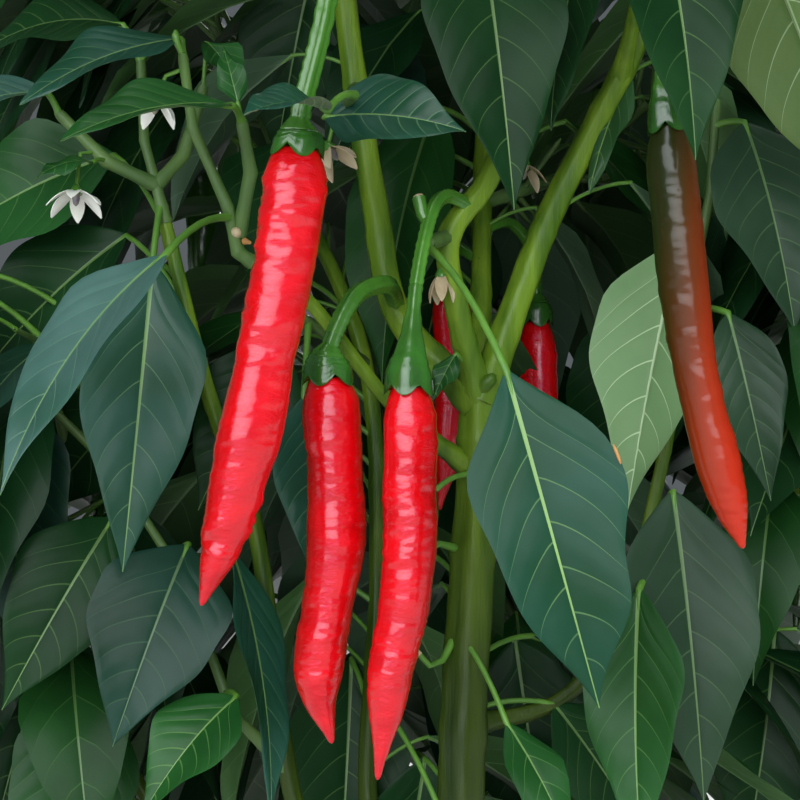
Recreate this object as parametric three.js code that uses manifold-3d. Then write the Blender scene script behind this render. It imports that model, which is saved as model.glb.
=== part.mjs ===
// Chilli pepper plant: a slender green stem that forks low down into boughs, with drooping
// leaves and long hanging pods. Millimetres, +Z up. The origin is the middle of the flat cut
// at ground level, and the plant is seen from the front by looking along +Y.
import * as THREE from 'three';
import Module from 'manifold-3d';

const wasm = await Module();
wasm.setup();

// Driving dimensions
const STEM_FOOT_RADIUS = 8.4;
const STEM_TOP_RADIUS = 6.1;
const ROOT_FLARE = 4.6; // added to the stem's radius at the ground
const FLARE_HEIGHT = 15; // over which most of the flare is gone
const LEAF_LENGTH = 90; // a full-grown blade without its stalk
const LEAF_SLIMNESS = 0.45; // width over length
const LEAF_THICKNESS = 0.012; // over length
const TOLD_FOLD = 0.2; // rise of a blade's edges over its half width
const GROWN_FOLD = 0.07;
const PETIOLE_LENGTH = 31;
const PETIOLE_RADIUS = 1.2;
const STALK_BOW = 0.16; // rise of a leaf stalk's middle over its length
const ROOT_RADIUS = 0.65; // of a twig or leaf stalk at its root, inside what carries it
const TWIG_LENGTHS = [30, 46, 40]; // one for each order of forking
const TWIG_RADII = [2.3, 2.0, 1.7, 1.5];
const FORK_ANGLE = 0.56; // radians from the parent twig's line
const TWIG_LIFT = 0.12; // how far a twig turns upwards
const TWIG_PULL = 0.3; // and towards the middle of its mass
const HUNG_POD = { length: 96, radius: 6.6, cup: 5.6, stalk: 1.9 };
const CALYX_HEIGHT = 9.9;

// Spaces between pieces
const GAP = 0.3; // between pieces that meet face to face
const CLEARANCE = 2; // that leaves, twigs and pods keep from one another
const SAMPLE_STEP = 4.5; // between the points at which they are compared
const SAMPLE_START = 0.06; // share of a blade's length where its points begin
const FREE_AT_ROOT = 18; // a leaf may be this near its own twig
const CELL = 15; // of the grid that holds those points
const TWIG_FREE_FROM = 0.3; // a twig's first share that must stand clear
const TRIES = 7; // turns that a leaf, twig or pod is tried at before it is skipped
const CROWN_FLOOR = 46; // no leaf hangs lower than this

// Faces across each kind of piece
const LIMB_SIDES = 6;
const TWIG_SIDES = 3;
const POD_SIDES = 8;
const HUNG_POD_SIDES = 5;
const TOLD_STOPS = [[0, 0.5, 1], [0.18, 0.46, 0.76]]; // along a leaf's stalk and its blade
const GROWN_STOPS = [[0, 1], [0.32, 0.7]];

const UP = new THREE.Vector3(0, 0, 1);
const vec = (p) => new THREE.Vector3(...p);
const plus = (a, b, scale = 1) => a.clone().addScaledVector(b, scale);
const mix = (a, b, t) => a.clone().lerp(b, t);

function plainMaterial(color, roughness) {
  return new THREE.MeshStandardMaterial({ color, roughness, metalness: 0, flatShading: true });
}
const STEM = plainMaterial(0x5f8a2e, 0.5);
const LEAF = plainMaterial(0x1f4a2a, 0.42);
const STALK = plainMaterial(0x3f8420, 0.35);
const RED = plainMaterial(0xe00a08, 0.2);
const TURNING = plainMaterial(0x7a2a0c, 0.2);

// Limbs, each a tapering stem that starts on the line of the one that it grows on. One with
// a path follows its points, and one with only a tip curves out of its parent's end.
const LIMBS = {
  trunk: {
    path: [[0, 0, 0], [0, 0, 24], [-4, 0, 110], [-2, 0, 192], [2, 0, 254], [3, 0, 286]],
    radii: [STEM_FOOT_RADIUS, STEM_TOP_RADIUS],
  },
  bough_left: {
    on: 'trunk', stub: 27, radii: [4.5, 3.4],
    path: [[3, 0, 284], [-22, 8, 311], [-30, 14, 348], [-37, 18, 393], [-42, 20, 428], [-55, 24, 478]],
  },
  bough_front: {
    on: 'trunk', stub: 27, radii: [3.8, 3.0],
    path: [
      [3, 0, 284], [-4, -9, 311], [-7, -14, 334], [5, -12, 352], [15, -8, 377], [27, -8, 408],
      [45, -20, 470],
    ],
  },
  bough_right: {
    on: 'trunk', stub: 27, radii: [4.6, 3.4],
    path: [[3, 0, 284], [17, 5, 322], [27, 8, 347], [47, 10, 386], [62, 12, 420], [90, 18, 480]],
  },
  bough_back: {
    on: 'trunk', stub: 25, radii: [3.6, 2.8],
    path: [[3, 0, 282], [4, 26, 309], [5, 46, 350], [8, 72, 420], [5, 95, 470]],
  },
  shoot_mid_left: {
    on: 'trunk', stub: 11, radii: [2.4, 1.9],
    path: [[2, 0, 262], [-25, -12, 284], [-49, -20, 314], [-66, -25, 326]],
  },
  shoot_left: {
    on: 'trunk', stub: 13, radii: [3.4, 2.1],
    path: [[-4, 0, 104], [-38, 5, 124], [-56, 8, 162], [-67, 6, 244], [-81, 4, 285], [-95, 4, 340]],
  },
  shoot_behind: {
    on: 'trunk', stub: 19, radii: [3.5, 2.3],
    path: [[-3, 0, 76], [-20, 16, 110], [-32, 20, 157], [-29, 22, 229], [-34, 44, 300], [-62, 74, 365]],
  },
  shoot_right: {
    on: 'trunk', stub: 12, radii: [2.6, 1.9],
    path: [[-2, 0, 184], [28, 8, 191], [48, 14, 215], [60, 16, 260], [66, 14, 292]],
  },
  shoot_right_low: {
    on: 'trunk', stub: 13, radii: [3.0, 2.1],
    path: [[-4, 0, 130], [40, 30, 160], [82, 52, 205], [112, 64, 255]],
  },
  shoot_left_low: {
    on: 'trunk', stub: 13, radii: [3.0, 2.1],
    path: [[-2, 0, 52], [-50, 28, 86], [-96, 44, 138], [-124, 44, 188]],
  },
  shoot_back: {
    on: 'trunk', stub: 13, radii: [3.1, 2.1],
    path: [[-4, 0, 112], [-2, 42, 138], [-6, 82, 176], [-10, 112, 222]],
  },
  limb_front_left: {
    on: 'bough_left', at: 0.8, stub: 8, radii: [2.9, 2.1],
    path: [[-42, 20, 428], [-40, -18, 444], [-46, -58, 456], [-66, -100, 492]],
  },
  limb_front_low: {
    on: 'bough_right', at: 0.6, stub: 9, radii: [2.4, 1.9],
    path: [[47, 10, 386], [52, -14, 412], [58, -38, 436], [62, -60, 452]],
  },
  limb_left_outer: { on: 'bough_left', tip: [-146, 6, 548], radii: [2.8, 2.1] },
  limb_left_inner: { on: 'bough_left', tip: [-64, 56, 588], radii: [2.8, 2.1] },
  limb_front_right: { on: 'bough_front', tip: [78, -104, 540], radii: [2.6, 2.1] },
  limb_centre: { on: 'bough_front', tip: [28, -18, 600], radii: [2.6, 2.1] },
  limb_right_outer: { on: 'bough_right', tip: [176, 2, 540], radii: [2.8, 2.1] },
  limb_right_inner: { on: 'bough_right', tip: [106, 66, 588], radii: [2.8, 2.1] },
  limb_back_left: { on: 'bough_back', tip: [-74, 150, 548], radii: [2.6, 2.1] },
  limb_back_right: { on: 'bough_back', tip: [86, 150, 546], radii: [2.6, 2.1] },
};
const LIMB_CURL = 0.22; // how long it keeps its parent's way, over its length
const TIP_STUB = 22; // of a limb that curves out of its parent's end
const STUB_OVER_LIMB = 4; // how far a stub for a mass or spray stands out of its limb
const POD_STUB_OVER_LIMB = 5;

// Masses of foliage that grow by rule: the middle and half sizes of the space that each one
// keeps to, and how many pods hang in it. Without `at` they start at their limb's tip.
const MASSES = {
  foliage_left_outer: {
    on: 'limb_left_outer', middle: [-178, -4, 562], half: [106, 108, 116], pods: 2,
  },
  foliage_left_top: {
    on: 'limb_left_inner', middle: [-76, 70, 650], half: [108, 106, 118], pods: 1,
  },
  foliage_front_left: {
    on: 'limb_front_left', middle: [-88, -126, 530], half: [108, 100, 114], pods: 1,
  },
  foliage_front_right: {
    on: 'limb_front_right', middle: [84, -134, 568], half: [108, 100, 116], pods: 1,
  },
  foliage_top: {
    on: 'limb_centre', middle: [22, -26, 668], half: [108, 104, 118], pods: 1,
  },
  foliage_right_outer: {
    on: 'limb_right_outer', middle: [200, -6, 560], half: [104, 110, 116], pods: 2,
  },
  foliage_right_top: {
    on: 'limb_right_inner', middle: [118, 82, 648], half: [104, 104, 116], pods: 1,
  },
  foliage_back_left: {
    on: 'limb_back_left', middle: [-98, 176, 572], half: [110, 96, 122], pods: 2,
  },
  foliage_back_right: {
    on: 'limb_back_right', middle: [104, 176, 570], half: [110, 96, 122], pods: 2,
  },
  foliage_mid_left: {
    on: 'shoot_behind', middle: [-96, 112, 400], half: [112, 92, 112], pods: 1,
  },
  foliage_mid_right: {
    on: 'bough_back', at: 0.5, aim: [0.8, 0.5, 0.3], middle: [84, 128, 390], half: [108, 92, 112], pods: 1,
  },
  foliage_low_right: {
    on: 'shoot_right_low', middle: [150, 72, 284], half: [106, 104, 122], pods: 2,
  },
  foliage_low_left: {
    on: 'shoot_left_low', middle: [-158, 52, 230], half: [106, 98, 126], pods: 2,
  },
  foliage_low_back: {
    on: 'shoot_back', middle: [-8, 150, 246], half: [114, 92, 124], pods: 1,
  },
  foliage_low_middle: {
    on: 'shoot_behind', at: 0.36, aim: [-0.3, 1, -0.2],
    middle: [-50, 98, 186], half: [104, 88, 116], pods: 1,
  },
  foliage_low_behind: {
    on: 'shoot_right_low', at: 0.4, aim: [-0.3, 1, -0.1],
    middle: [54, 112, 190], half: [104, 90, 118], pods: 1,
  },
};

const FIRST_SEED = 11; // of the masses' random numbers

// Sprays of leaves that are told one by one, because they hang in front of the stem. Each has
// twigs, the first of which starts on its limb, and leaves from base to tip. `face` is where
// the blade's upper side looks.
const SPRAYS = {
  spray_front: {
    on: 'bough_front', at: 0.34, twigs: [[[-7, -14, 334], [-14, -25, 331]]],
    leaves: [{ base: [8, -62, 293], tip: [33, -75, 200], width: 38, face: [-0.1, -0.95, 0.3], arch: 5 }],
  },
  spray_centre: {
    on: 'bough_left', at: 0.56, twigs: [[[-36, 17, 386], [-38, -6, 378], [-38, -34, 372], [-35, -54, 372]]],
    leaves: [
      { base: [-44, -36, 368], tip: [-3, -50, 362], width: 27, face: [0, -0.85, 0.5], arch: 4 },
      { base: [-42, -74, 365], tip: [-64, -93, 361], width: 21, face: [0.15, -0.3, 0.95], arch: 3 },
    ],
  },
  spray_mid_left: {
    on: 'shoot_mid_left',
    twigs: [
      [[-66, -25, 326], [-73, -30, 342], [-83, -34, 365], [-87, -24, 388]],
      [[-70, -27, 334], [-66, -34, 352], [-68, -43, 366]],
    ],
    leaves: [
      { base: [-88, -62, 326], tip: [-131, -82, 259], width: 36, face: [-0.45, -0.55, 0.7], arch: 7 },
      { base: [-70, -54, 369], tip: [-114, -86, 355], width: 28, face: [0.05, -0.4, 0.92], arch: 4 },
      { base: [-88, -17, 394], tip: [-133, -40, 371], width: 30, face: [-0.1, -0.5, 0.85], arch: 4 },
      { base: [-69, -44, 371], tip: [-74, -38, 389], width: 9, face: [0.1, -0.9, -0.2], arch: 1 },
    ],
  },
  spray_left: {
    on: 'shoot_left',
    twigs: [
      [[-95, 4, 340], [-98, 4, 352], [-102, 6, 366], [-104, 14, 392]],
      [[-98, 4, 352], [-90, 9, 362], [-84, 12, 384]],
      [[-98, 4, 352], [-113, 0, 359], [-128, 2, 374]],
    ],
    leaves: [
      { base: [-98, -6, 327], tip: [-106, -16, 233], width: 38, face: [0.15, -0.95, 0.15], arch: 5 },
      { base: [-116, -8, 358], tip: [-132, -18, 352], width: 15, face: [0, -0.3, 0.95], arch: 2 },
      { base: [-131, -2, 380], tip: [-168, -12, 366], width: 26, face: [-0.2, -0.5, 0.8], arch: 4 },
      { base: [-110, 16, 404], tip: [-156, 14, 394], width: 34, face: [0, -0.6, 0.8], arch: 6 },
      { base: [-83, 12, 398], tip: [-72, 2, 380], width: 14, face: [0.4, -0.7, 0.4], arch: 2 },
    ],
  },
  spray_low_left: {
    on: 'shoot_left', at: 0.42,
    twigs: [[[-57, 8, 167], [-74, 3, 187], [-90, 12, 228], [-114, 18, 264], [-144, 24, 292]]],
    leaves: [
      { base: [-152, 20, 290], tip: [-136, 12, 200], width: 44, face: [-0.1, -0.9, 0.4], arch: 6 },
      { base: [-112, 8, 248], tip: [-144, -8, 190], width: 38, face: [0.2, -0.85, 0.45], arch: 6 },
      { base: [-88, 3, 240], tip: [-109, -16, 180], width: 44, face: [0.1, -0.85, 0.5], arch: 5 },
      { base: [-72, -8, 194], tip: [-99, -24, 161], width: 28, face: [-0.1, -0.7, 0.7], arch: 4 },
      { base: [-74, -2, 238], tip: [-61, -20, 160], width: 26, face: [0.85, -0.45, 0.1], arch: 4 },
    ],
  },
  spray_behind: {
    on: 'shoot_behind', at: 0.79, twigs: [[[-34, 42, 297], [-46, 28, 306], [-54, 18, 312]]],
    leaves: [
      { base: [-60, 22, 304], tip: [-86, 16, 250], width: 34, face: [0, -0.9, 0.3], arch: 3 },
      { base: [-52, 8, 286], tip: [-50, -4, 232], width: 26, face: [0.3, -0.9, 0.3], arch: 4 },
    ],
  },
  spray_right: {
    on: 'shoot_right', twigs: [[[66, 14, 292], [70, 12, 322], [76, 12, 350], [78, 14, 380]]],
    leaves: [
      { base: [64, -8, 334], tip: [46, -24, 252], width: 40, face: [-0.2, 0.9, 0.35], arch: 3 },
      { base: [86, 8, 372], tip: [100, -2, 306], width: 40, face: [0.1, -0.85, 0.5], arch: 5 },
      { base: [80, 2, 312], tip: [92, -6, 254], width: 25, face: [-0.1, -0.9, 0.4], arch: 4 },
    ],
  },
  spray_low_right: {
    on: 'shoot_right', at: 0.5, twigs: [[[48, 14, 215], [56, 1, 230], [60, 0, 250]]],
    leaves: [
      { base: [62, -4, 257], tip: [70, -16, 163], width: 44, face: [0.05, -0.95, 0.3], arch: 5 },
      { base: [50, -20, 228], tip: [49, -36, 150], width: 32, face: [-0.45, -0.85, 0.3], arch: 4 },
    ],
  },
  spray_upper_right: {
    on: 'bough_front', at: 0.84, twigs: [[[28, -9, 411], [19, -20, 422], [8, -24, 434]]],
    leaves: [
      { base: [1, -30, 431], tip: [11, -46, 340], width: 42, face: [0.05, -0.92, 0.3], arch: 6 },
      { base: [35, -25, 426], tip: [23, -28, 365], width: 28, face: [-0.6, -0.7, 0.2], arch: 4 },
    ],
  },
  spray_front_right: {
    on: 'limb_front_low', twigs: [[[62, -60, 452], [64, -68, 464], [70, -66, 474]]],
    leaves: [
      { base: [47, -74, 430], tip: [58, -86, 350], width: 38, face: [0.2, -0.9, 0.4], arch: 6 },
      { base: [80, -54, 420], tip: [114, -46, 338], width: 44, face: [0.1, 0.9, 0.4], arch: 5 },
    ],
  },
};

// Large pods with a stalk and calyx of their own. The stalk's points run from its limb to the
// calyx, and the body's from there to the pod's tip.
const PODS = {
  one: {
    on: 'limb_front_left', at: 0.62, radius: 9.3, cup: 7.2, stalkRadius: 2.8, colour: RED,
    stalk: [[-45, -52, 454], [-41, -60, 422], [-43, -61, 396], [-50, -62, 366]],
    body: [[-51, -62, 355], [-54.3, -62, 327], [-62.8, -62, 285], [-70, -62, 253], [-78, -62, 227]],
  },
  two: {
    on: 'bough_left', at: 0.22, radius: 8.8, cup: 7.2, stalkRadius: 2.6, colour: RED,
    stalk: [[-23, 9, 315], [-26, -14, 320], [-35, -29, 316], [-42, -35, 302]],
    body: [[-43, -35, 291], [-41.5, -35, 266], [-41, -35, 240], [-46, -35, 205], [-42, -35, 184]],
  },
  three: {
    on: 'bough_front', at: 0.42, radius: 7.9, cup: 6.7, stalkRadius: 2.0, colour: RED,
    stalk: [[-1, -14, 344], [-8.5, -23, 346], [-13, -31, 339], [-17, -39, 320], [-18.8, -44, 300]],
    body: [[-19.5, -45, 288], [-19, -45, 256], [-20.5, -45, 227], [-25, -45, 204], [-28.5, -45, 175]],
  },
  four: {
    on: 'limb_front_low', at: 0.7, radius: 7.1, cup: 5.8, stalkRadius: 2.0, colour: TURNING,
    stalk: [[58, -40, 437], [54, -52, 416], [52, -58, 396], [52.5, -60, 375]],
    body: [
      [54, -60, 362], [56, -60, 339], [59, -60, 313], [63.5, -60, 285], [71, -60, 257], [75, -60, 243],
    ],
  },
};
const BACK_PODS = {
  back_right: {
    on: 'bough_back', at: 0.46, radius: 6.6, cup: 5.4, stalkRadius: 1.8, colour: RED,
    stalk: [[5, 42, 341], [15, 53, 344], [23, 60, 334], [24, 61, 321]],
    body: [[24, 61, 311], [25, 61, 280], [24, 63, 240], [21, 64, 212]],
  },
  back_left: {
    on: 'bough_back', at: 0.4, radius: 6.4, cup: 5.2, stalkRadius: 1.8, colour: RED,
    stalk: [[4.6, 36, 330], [-4, 44, 336], [-7, 52, 337], [-6, 56, 330]],
    body: [[-5, 56, 321], [-4, 56, 300], [-5, 56, 275], [-9, 55, 248]],
  },
};

// The last number of each random draw tells what is drawn.
const DRAW = {
  forkTurn: 3,
  forkAngle: 4,
  twigLength: 5,
  leafTurn: 6,
  droop: 7,
  bladeLength: 8,
  rise: 9,
  stalkLength: 10,
  roll: 11,
  bladeWidth: 12,
  arch: 13,
  podTurn: 14,
  podLean: 15,
  podLength: 16,
};

// A repeatable random number from 0 to 1 for a list of whole numbers.
function chance(...keys) {
  let h = 2166136261;
  for (const k of keys) {
    h = Math.imul(h ^ k, 16777619);
    h ^= h >>> 13;
    h = Math.imul(h, 0x5bd1e995);
    h ^= h >>> 15;
  }
  return (h >>> 0) / 4294967296;
}
const between = (low, high, ...keys) => low + (high - low) * chance(...keys);

// Solids lofted from rings
const smoothCurve = (points) => new THREE.CatmullRomCurve3(points, false, 'catmullrom', 0.5);

function signedVolume(vertices, faces) {
  const at = (i) => new THREE.Vector3(vertices[3 * i], vertices[3 * i + 1], vertices[3 * i + 2]);
  let sum = 0;
  for (let i = 0; i < faces.length; i += 3) {
    sum += at(faces[i]).dot(at(faces[i + 1]).cross(at(faces[i + 2])));
  }
  return sum / 6;
}

// A closed solid through rings of points. A ring of a single point closes its end there.
function loft(rings) {
  const vertices = [];
  const starts = [];
  for (const ring of rings) {
    starts.push(vertices.length / 3);
    for (const p of ring) vertices.push(p.x, p.y, p.z);
  }
  const faces = [];
  const sides = Math.max(...rings.map((ring) => ring.length));
  const index = (i, k) => starts[i] + (rings[i].length === 1 ? 0 : k % sides);
  for (let i = 0; i + 1 < rings.length; i += 1) {
    for (let k = 0; k < sides; k += 1) {
      if (rings[i].length > 1) faces.push(index(i, k), index(i, k + 1), index(i + 1, k));
      if (rings[i + 1].length > 1) faces.push(index(i, k + 1), index(i + 1, k + 1), index(i + 1, k));
    }
  }
  const last = rings.length - 1;
  for (let k = 1; k + 1 < sides; k += 1) {
    if (rings[0].length > 1) faces.push(index(0, 0), index(0, k + 1), index(0, k));
    if (rings[last].length > 1) faces.push(index(last, 0), index(last, k), index(last, k + 1));
  }
  if (signedVolume(vertices, faces) < 0) faces.reverse();
  return new wasm.Manifold(new wasm.Mesh({
    numProp: 3, vertProperties: new Float32Array(vertices), triVerts: new Uint32Array(faces),
  }));
}

// A ring of points round each station, turned as little as may be from one to the next.
function ringsAt(stations, sides) {
  let across = new THREE.Vector3(0.31, 1, 0.17);
  return stations.map(({ place, along, radius }) => {
    across = plus(across, along, -across.dot(along)).normalize();
    const other = along.clone().cross(across);
    if (radius === 0) return [place];
    return Array.from({ length: sides }, (_, k) => {
      const angle = (2 * Math.PI * k) / sides;
      return plus(plus(place, across, radius * Math.cos(angle)), other, radius * Math.sin(angle));
    });
  });
}

// Rings at the given shares of a curve's parameter. One that starts on the ground is cut level.
function ringsAlong(curve, stops, radiusAt, sides) {
  const stations = stops.map((t) => {
    const place = curve.getPoint(t);
    const along = place.z === 0 ? UP : curve.getTangent(t);
    return { place, along, radius: radiusAt(t) };
  });
  return ringsAt(stations, sides);
}
function stopsBetween(from, to, steps) {
  return Array.from({ length: steps + 1 }, (_, i) => from + ((to - from) * i) / steps);
}

// The share of a curve's parameter that lies `length` along it.
function shareAt(curve, length) {
  const steps = 400;
  let before = curve.getPoint(0);
  let sum = 0;
  for (let i = 1; i <= steps; i += 1) {
    const now = curve.getPoint(i / steps);
    sum += now.distanceTo(before);
    if (sum >= length) return i / steps;
    before = now;
  }
  return 1;
}

function joined(solids) {
  const whole = solids.reduce((a, b) => a.add(b));
  return whole.decompose().reduce((a, b) => (b.volume() > a.volume() ? b : a));
}

const plant = new THREE.Group();
function addNode(name, solid, material) {
  const mesh = solid.getMesh();
  const geometry = new THREE.BufferGeometry();
  geometry.setAttribute('position', new THREE.BufferAttribute(new Float32Array(mesh.vertProperties), 3));
  geometry.setIndex(new THREE.BufferAttribute(new Uint32Array(mesh.triVerts), 1));
  const node = new THREE.Mesh(geometry, material);
  node.name = name;
  plant.add(node);
}

// What already grows where: points along limbs and pods and over leaves, in a grid of cells
const cells = new Map();
const cellOf = (i, j, k) => ((i + 100) * 200 + (j + 100)) * 200 + k + 100;

function occupy(place, reach, owner, woody) {
  const key = cellOf(...place.toArray().map((value) => Math.floor(value / CELL)));
  if (!cells.has(key)) cells.set(key, []);
  cells.get(key).push({ place, reach, owner, woody });
}

function isTaken(place, reach, owner, root) {
  const [i, j, k] = place.toArray().map((value) => Math.floor(value / CELL));
  for (let n = 0; n < 27; n += 1) {
    const key = cellOf(i + (n % 3) - 1, j + (Math.floor(n / 3) % 3) - 1, k + Math.floor(n / 9) - 1);
    for (const other of cells.get(key) ?? []) {
      const ownWood = other.woody && other.owner === owner && other.place.distanceTo(root) < FREE_AT_ROOT;
      if (!ownWood && other.place.distanceTo(place) < other.reach + reach + CLEARANCE) return true;
    }
  }
  return false;
}

function occupyCurve(curve, from, radiusAt, owner) {
  const steps = Math.ceil(curve.getLength() / SAMPLE_STEP);
  for (const t of stopsBetween(from, 1, steps)) occupy(curve.getPoint(t), radiusAt(t), owner, true);
}

function isInside(place, space) {
  const [x, y, z] = plus(place, space.middle, -1).divide(space.half).toArray();
  return Math.abs(x) ** 3 + Math.abs(y) ** 3 + Math.abs(z) ** 3 < 1 && place.z > CROWN_FLOOR;
}

// Limbs
const limbs = {};

function limbRadius(spec, curve) {
  const [foot, top] = spec.radii;
  const flareAt = (t) => (spec.on ? 0 : ROOT_FLARE * Math.exp(-curve.getPoint(t).z / FLARE_HEIGHT));
  return (t) => foot + (top - foot) * t + flareAt(t);
}

function limbCurve(spec) {
  if (spec.path) return smoothCurve(spec.path.map(vec));
  const parent = limbs[spec.on].curve;
  const start = parent.getPoint(1);
  const tip = vec(spec.tip);
  const control = plus(start, parent.getTangent(1), start.distanceTo(tip) * LIMB_CURL);
  return smoothCurve(new THREE.QuadraticBezierCurve3(start, control, tip).getPoints(4));
}

// The first stretch of what grows on a limb belongs to that limb, up to a gap before `start`.
function addStub(parent, curve, start, radiusAt) {
  const end = Math.max(start - GAP / curve.getLength(), start * 0.5);
  limbs[parent].solids.push(loft(ringsAlong(curve, [0, end], radiusAt, LIMB_SIDES)));
}

const TRUNK_STOPS = [0, 0.03, 0.08, ...stopsBetween(0.2, 1, 5)]; // closer at the root flare

for (const [name, spec] of Object.entries(LIMBS)) {
  const curve = limbCurve(spec);
  const radiusAt = limbRadius(spec, curve);
  const start = spec.on ? shareAt(curve, spec.stub ?? TIP_STUB) : 0;
  const steps = spec.path ? spec.path.length + 1 : 3;
  const stops = spec.on ? stopsBetween(start, 1, steps) : TRUNK_STOPS;
  limbs[name] = { curve, radiusAt, solids: [loft(ringsAlong(curve, stops, radiusAt, LIMB_SIDES))] };
  if (spec.on) addStub(spec.on, curve, start, radiusAt);
  occupyCurve(curve, 0, radiusAt, name);
}

// Leaves: a stalk and a blade in one loft. The blade is folded along its middle, and arched
// towards its upper face. One that grows by rule has only three points a ring.
const bladeShape = (u) => Math.sin(Math.PI * u ** 0.72) * (1 - 0.3 * u ** 3);

function bladeAt(leaf, u) {
  const bend = plus(mix(leaf.base, leaf.tip, 0.5), leaf.face, 2 * leaf.arch);
  const centre = mix(mix(leaf.base, bend, u), mix(bend, leaf.tip, u), u);
  const along = plus(mix(bend, leaf.tip, u), mix(leaf.base, bend, u), -1).normalize();
  const face = plus(leaf.face, along, -leaf.face.dot(along)).normalize();
  return { centre, face, side: along.cross(face), reach: (leaf.width / 2) * bladeShape(u) };
}

function bladePoint(leaf, u, v) {
  const { centre, face, side, reach } = bladeAt(leaf, u);
  return plus(plus(centre, side, reach * v), face, leaf.fold * reach * Math.abs(v));
}

function petiolePoint(leaf, t) {
  const bend = plus(mix(leaf.root, leaf.base, 0.5), UP, leaf.root.distanceTo(leaf.base) * STALK_BOW);
  return mix(mix(leaf.root, bend, t), mix(bend, leaf.base, t), t);
}

function stalkRing(leaf, t) {
  const place = petiolePoint(leaf, t);
  const { side, face } = bladeAt(leaf, 0);
  const radius = t === 0 ? ROOT_RADIUS : PETIOLE_RADIUS;
  const ring = [plus(place, side, -radius), plus(place, side, radius)];
  if (leaf.told) ring.splice(1, 0, plus(place, face, radius));
  return [...ring, plus(place, face, -radius)];
}

function bladeRing(leaf, u) {
  const { centre, face } = bladeAt(leaf, u);
  const thick = leaf.base.distanceTo(leaf.tip) * LEAF_THICKNESS;
  const ring = [bladePoint(leaf, u, -1), bladePoint(leaf, u, 1)];
  if (leaf.told) ring.splice(1, 0, plus(centre, face, thick / 2));
  return [...ring, plus(centre, face, leaf.told ? -thick / 2 : -thick)];
}

function leafSolid(leaf) {
  const [stalkStops, bladeStops] = leaf.told ? TOLD_STOPS : GROWN_STOPS;
  const stalk = stalkStops.map((t) => stalkRing(leaf, t));
  return loft([...stalk, ...bladeStops.map((u) => bladeRing(leaf, u)), [leaf.tip]]);
}

// The points at which a leaf is compared with what is round it.
function leafSamples(leaf) {
  const samples = [];
  const length = leaf.base.distanceTo(leaf.tip);
  const rows = Math.ceil(length / SAMPLE_STEP);
  for (let i = 0; i <= rows; i += 1) {
    const u = SAMPLE_START + ((1 - SAMPLE_START) * i) / rows;
    const columns = Math.max(1, Math.ceil((2 * bladeAt(leaf, u).reach) / SAMPLE_STEP));
    for (let j = 0; j <= columns; j += 1) {
      const place = bladePoint(leaf, u, (2 * j) / columns - 1);
      samples.push({ place, reach: SAMPLE_STEP / 2, woody: false });
    }
  }
  const stalkSteps = Math.ceil(leaf.root.distanceTo(leaf.base) / SAMPLE_STEP);
  for (const t of stopsBetween(0, 1, stalkSteps)) {
    samples.push({ place: petiolePoint(leaf, t), reach: PETIOLE_RADIUS, woody: true });
  }
  return samples;
}

// A run of twigs as one solid. Its root lies inside what carries it, unless it starts a node.
function runSolid(points, radii, startsNode) {
  const wayAt = (i) => {
    const [before, after] = [points[Math.max(i - 1, 0)], points[Math.min(i + 1, points.length - 1)]];
    return plus(after, before, -1).normalize();
  };
  const stations = points.map((place, i) => ({ place, along: wayAt(i), radius: radii[i] }));
  if (!startsNode) {
    const way = stations[0].along;
    stations.splice(0, 1, { place: points[0], along: way, radius: ROOT_RADIUS },
      { place: plus(points[0], way, 5), along: way, radius: radii[0] });
  }
  return loft(ringsAt(stations, TWIG_SIDES));
}

function occupyTwig(twig, owner) {
  const [from, to] = twig.ends;
  const steps = Math.ceil(from.distanceTo(to) / SAMPLE_STEP);
  for (const t of stopsBetween(0, 1, steps)) occupy(mix(from, to, t), twig.radii[0], owner, true);
}

// Where a mass or spray starts on its limb, and its first twig's way. One on the side of a
// limb starts on a short stub of that limb.
function startOn(spec, aim, radius) {
  const limb = limbs[spec.on];
  const share = spec.at ?? 1;
  const place = limb.curve.getPoint(share);
  if (share === 1) {
    const onward = limb.curve.getTangent(1);
    return { from: plus(place, onward, GAP), way: onward };
  }
  const way = aim.clone().normalize();
  const stub = limb.radiusAt(share) + STUB_OVER_LIMB;
  const line = new THREE.LineCurve3(place, plus(place, way, stub));
  limb.solids.push(loft(ringsAlong(line, [0, 1], () => radius, LIMB_SIDES)));
  return { from: plus(place, way, stub + GAP), way };
}

// Sprays told one by one
const NEAREST_STOPS = stopsBetween(0.15, 1, 12);

function nearestOn(twigs, target) {
  let best = null;
  for (const twig of twigs) {
    for (const t of NEAREST_STOPS) {
      const place = mix(twig.ends[0], twig.ends[1], t);
      if (!best || place.distanceTo(target) < best.distanceTo(target)) best = place;
    }
  }
  return best;
}

function sprayRuns(spec) {
  return spec.twigs.map((points, branch) => {
    const places = points.map(vec);
    if (branch > 0) return places;
    const { from, way } = startOn(spec, plus(places[1], places[0], -1), TWIG_RADII[0]);
    return [from, plus(from, way, 5), ...places.slice(1)];
  });
}

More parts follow.
